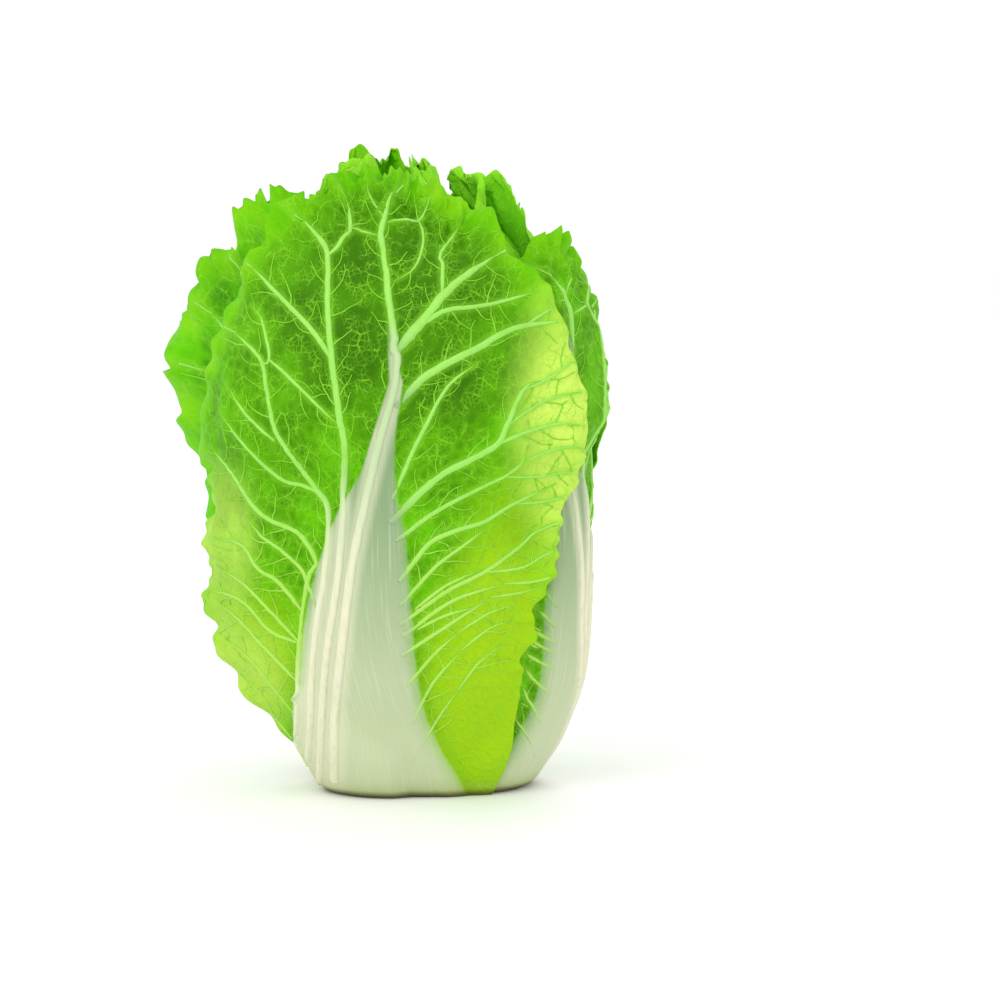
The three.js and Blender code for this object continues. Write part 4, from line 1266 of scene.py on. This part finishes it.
def turnedPiece(name, profile, finish):
    turn = np.linspace(0, 360, stem["segments"], endpoint=False) * degree
    radius, z, folds = [column[:, None] for column in np.array(profile, float).T]
    around, up, strength, seed = stem["foldSwirl"]
    swirl = cloud(turn * around / stem["foldSize"] + z / up, z / stem["foldSize"], seed)
    wave = 0.5 + 0.5 * np.sin(stem["foldCount"] * turn + z / stem["foldSlant"] + strength * swirl)
    folds = folds * stem["coreFolds"] * wave * ease(*stem["foldFree"], radius)
    radius = np.maximum(0, radius - folds)
    x = radius * np.sin(turn) - head["lean"] * ease(0, head["leanHeight"], z)
    y = -radius * np.cos(turn) * head["depthShare"]
    points = np.stack([x, y, np.broadcast_to(z, x.shape)], -1).reshape(-1, 3)
    grid = np.arange(len(points)).reshape(len(profile), -1)
    after = np.roll(grid, -1, 1)
    quads = np.stack([grid[:-1], after[:-1], after[1:], grid[1:]], -1).reshape(-1, 4)
    piece = meshPiece(name, points, quads.tolist(), finish)
    work = bmesh.new()
    work.from_mesh(piece.data)
    bmesh.ops.remove_doubles(work, verts=work.verts, dist=stem["weld"] * millimetre)
    bmesh.ops.recalc_face_normals(work, faces=work.faces)
    work.to_mesh(piece.data)
    work.free()
    return piece


def fleshFinish(name, plain, cut, ring, top):
    # firm pale tissue with fine bundles, browned where it was cut
    finish = Finish(name)
    spot, height = finish.place()
    fibre = finish.scaled(spot, (1, 1, flesh["fibreLength"]))
    fibre = finish.noise(fibre, flesh["fibreScale"], 3)
    skin = finish.paint(
        plain,
        (finish.band(fibre, *flesh["fibreBand"]) * flesh["fibreCoat"], ring),
        (finish.patches(spot, *flesh["ringPatches"]) * flesh["ringCoat"], ring),
        (finish.band(height, *flesh["topHeights"]), top),
        (finish.fade(height, *flesh["cutHeights"]), cut),
    )
    bump = finish.bump(*flesh["bump"], fibre)
    finish.surface(baseColor=skin, roughness=flesh["roughness"], normal=bump)
    return finish.material


gap, foot = stem["gap"], stem["heartFoot"]
coreProfile = [(r + gap if r > 0 else 0, z + gap, 0) for r, z in stem["side"][::-1] if z > foot]
coreProfile.append((stem["side"][1][0] + gap, foot, 0))
footSide = float(np.interp(foot, side[:, 1] + head["wrapDepth"] * sideOut[:, 1], stations))
for share in np.linspace(0, 1, stem["coreRows"]):
    s = mix(footSide / sideSteps, 1, share) * sideLength
    radius, z, outRadius, outZ = (float(value) for value in sideAt(s))
    height = float(coreHeight(s))
    radius = radius + height * outRadius if share < 1 else 0
    coreProfile.append((radius, z + height * outZ, ease(*stem["foldSides"], s)))
coreFlesh = fleshFinish("heartFlesh", colour("74c40c"), colour("c9cf80"), colour("58aa00"), colour("b6e060"))
core = turnedPiece("heartCore", coreProfile, coreFlesh)
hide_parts("heart")
stemFlesh = fleshFinish("stemFlesh", colour("e9ecca"), colour("c8c08a"), colour("d3d8a8"), colour("e9ecca"))
stemCone = turnedPiece("stemCone", [(0, 0, 0)] + [(r, z, 0) for r, z in stem["side"]], stemFlesh)
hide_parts("stem")
for piece in (core, stemCone):
    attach(piece, "root")
print("heart core and stem made")

# floor, light and camera
studio = {
    "floorRadius": 12.0,  # metres
    "floorRoughness": 0.6,
    "floorColour": (0.97, 0.97, 0.97, 1), "skyStrength": 1.03, "middle": (0, 0, 0.13),
    "lamps": [  # name, place in metres, size in metres, power in watts
        ("keyLamp", (-1.1, -1.5, 1.7), 1.1, 15),
        ("fillLamp", (1.6, -1.3, 0.9), 1.5, 3),
        ("backLamp", (0.4, 1.6, 1.5), 1.3, 5),
    ],
}
floorMesh = bpy.data.meshes.new("floor")
work = bmesh.new()
bmesh.ops.create_circle(work, cap_ends=True, segments=96, radius=studio["floorRadius"])
work.to_mesh(floorMesh)
work.free()
floor = placedObject("floor", floorMesh)
floorFinish = Finish("paleFloor")
floorFinish.surface(baseColor=studio["floorColour"], roughness=studio["floorRoughness"])
floorMesh.materials.append(floorFinish.material)
floor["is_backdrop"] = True

world = bpy.data.worlds.new("studio")
world.use_nodes = True
sky = world.node_tree.nodes["Background"]
sky.inputs["Color"].default_value = (1, 1, 1, 1)
sky.inputs["Strength"].default_value = studio["skyStrength"]
bpy.context.scene.world = world
middle = Vector(studio["middle"])
for name, place, size, power in studio["lamps"]:
    lamp = bpy.data.lights.new(name, "AREA")
    lamp.size = size
    lamp.energy = power
    holder = placedObject(name, lamp)
    holder.location = place
    holder.rotation_euler = (middle - Vector(place)).to_track_quat("-Z", "Y").to_euler()
bpy.context.scene.view_settings.view_transform = "Standard"

camera = bpy.data.cameras.new("camera")
camera.sensor_width = 36
camera.lens = camera.sensor_width * eye["distance"] / eye["viewWidth"]
cameraHolder = placedObject("camera", camera)
lift = eye["elevation"] * degree
back = Vector((0, -math.cos(lift), math.sin(lift)))
cameraHolder.location = (Vector(eye["aim"]) + back * eye["distance"]) * millimetre
cameraHolder.rotation_euler = (-back).to_track_quat("-Z", "Y").to_euler()
camera.clip_start = 0.05
camera.clip_end = 60
bpy.context.scene.camera = cameraHolder
print("studio made")

seenBox = [list(corner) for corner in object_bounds()]
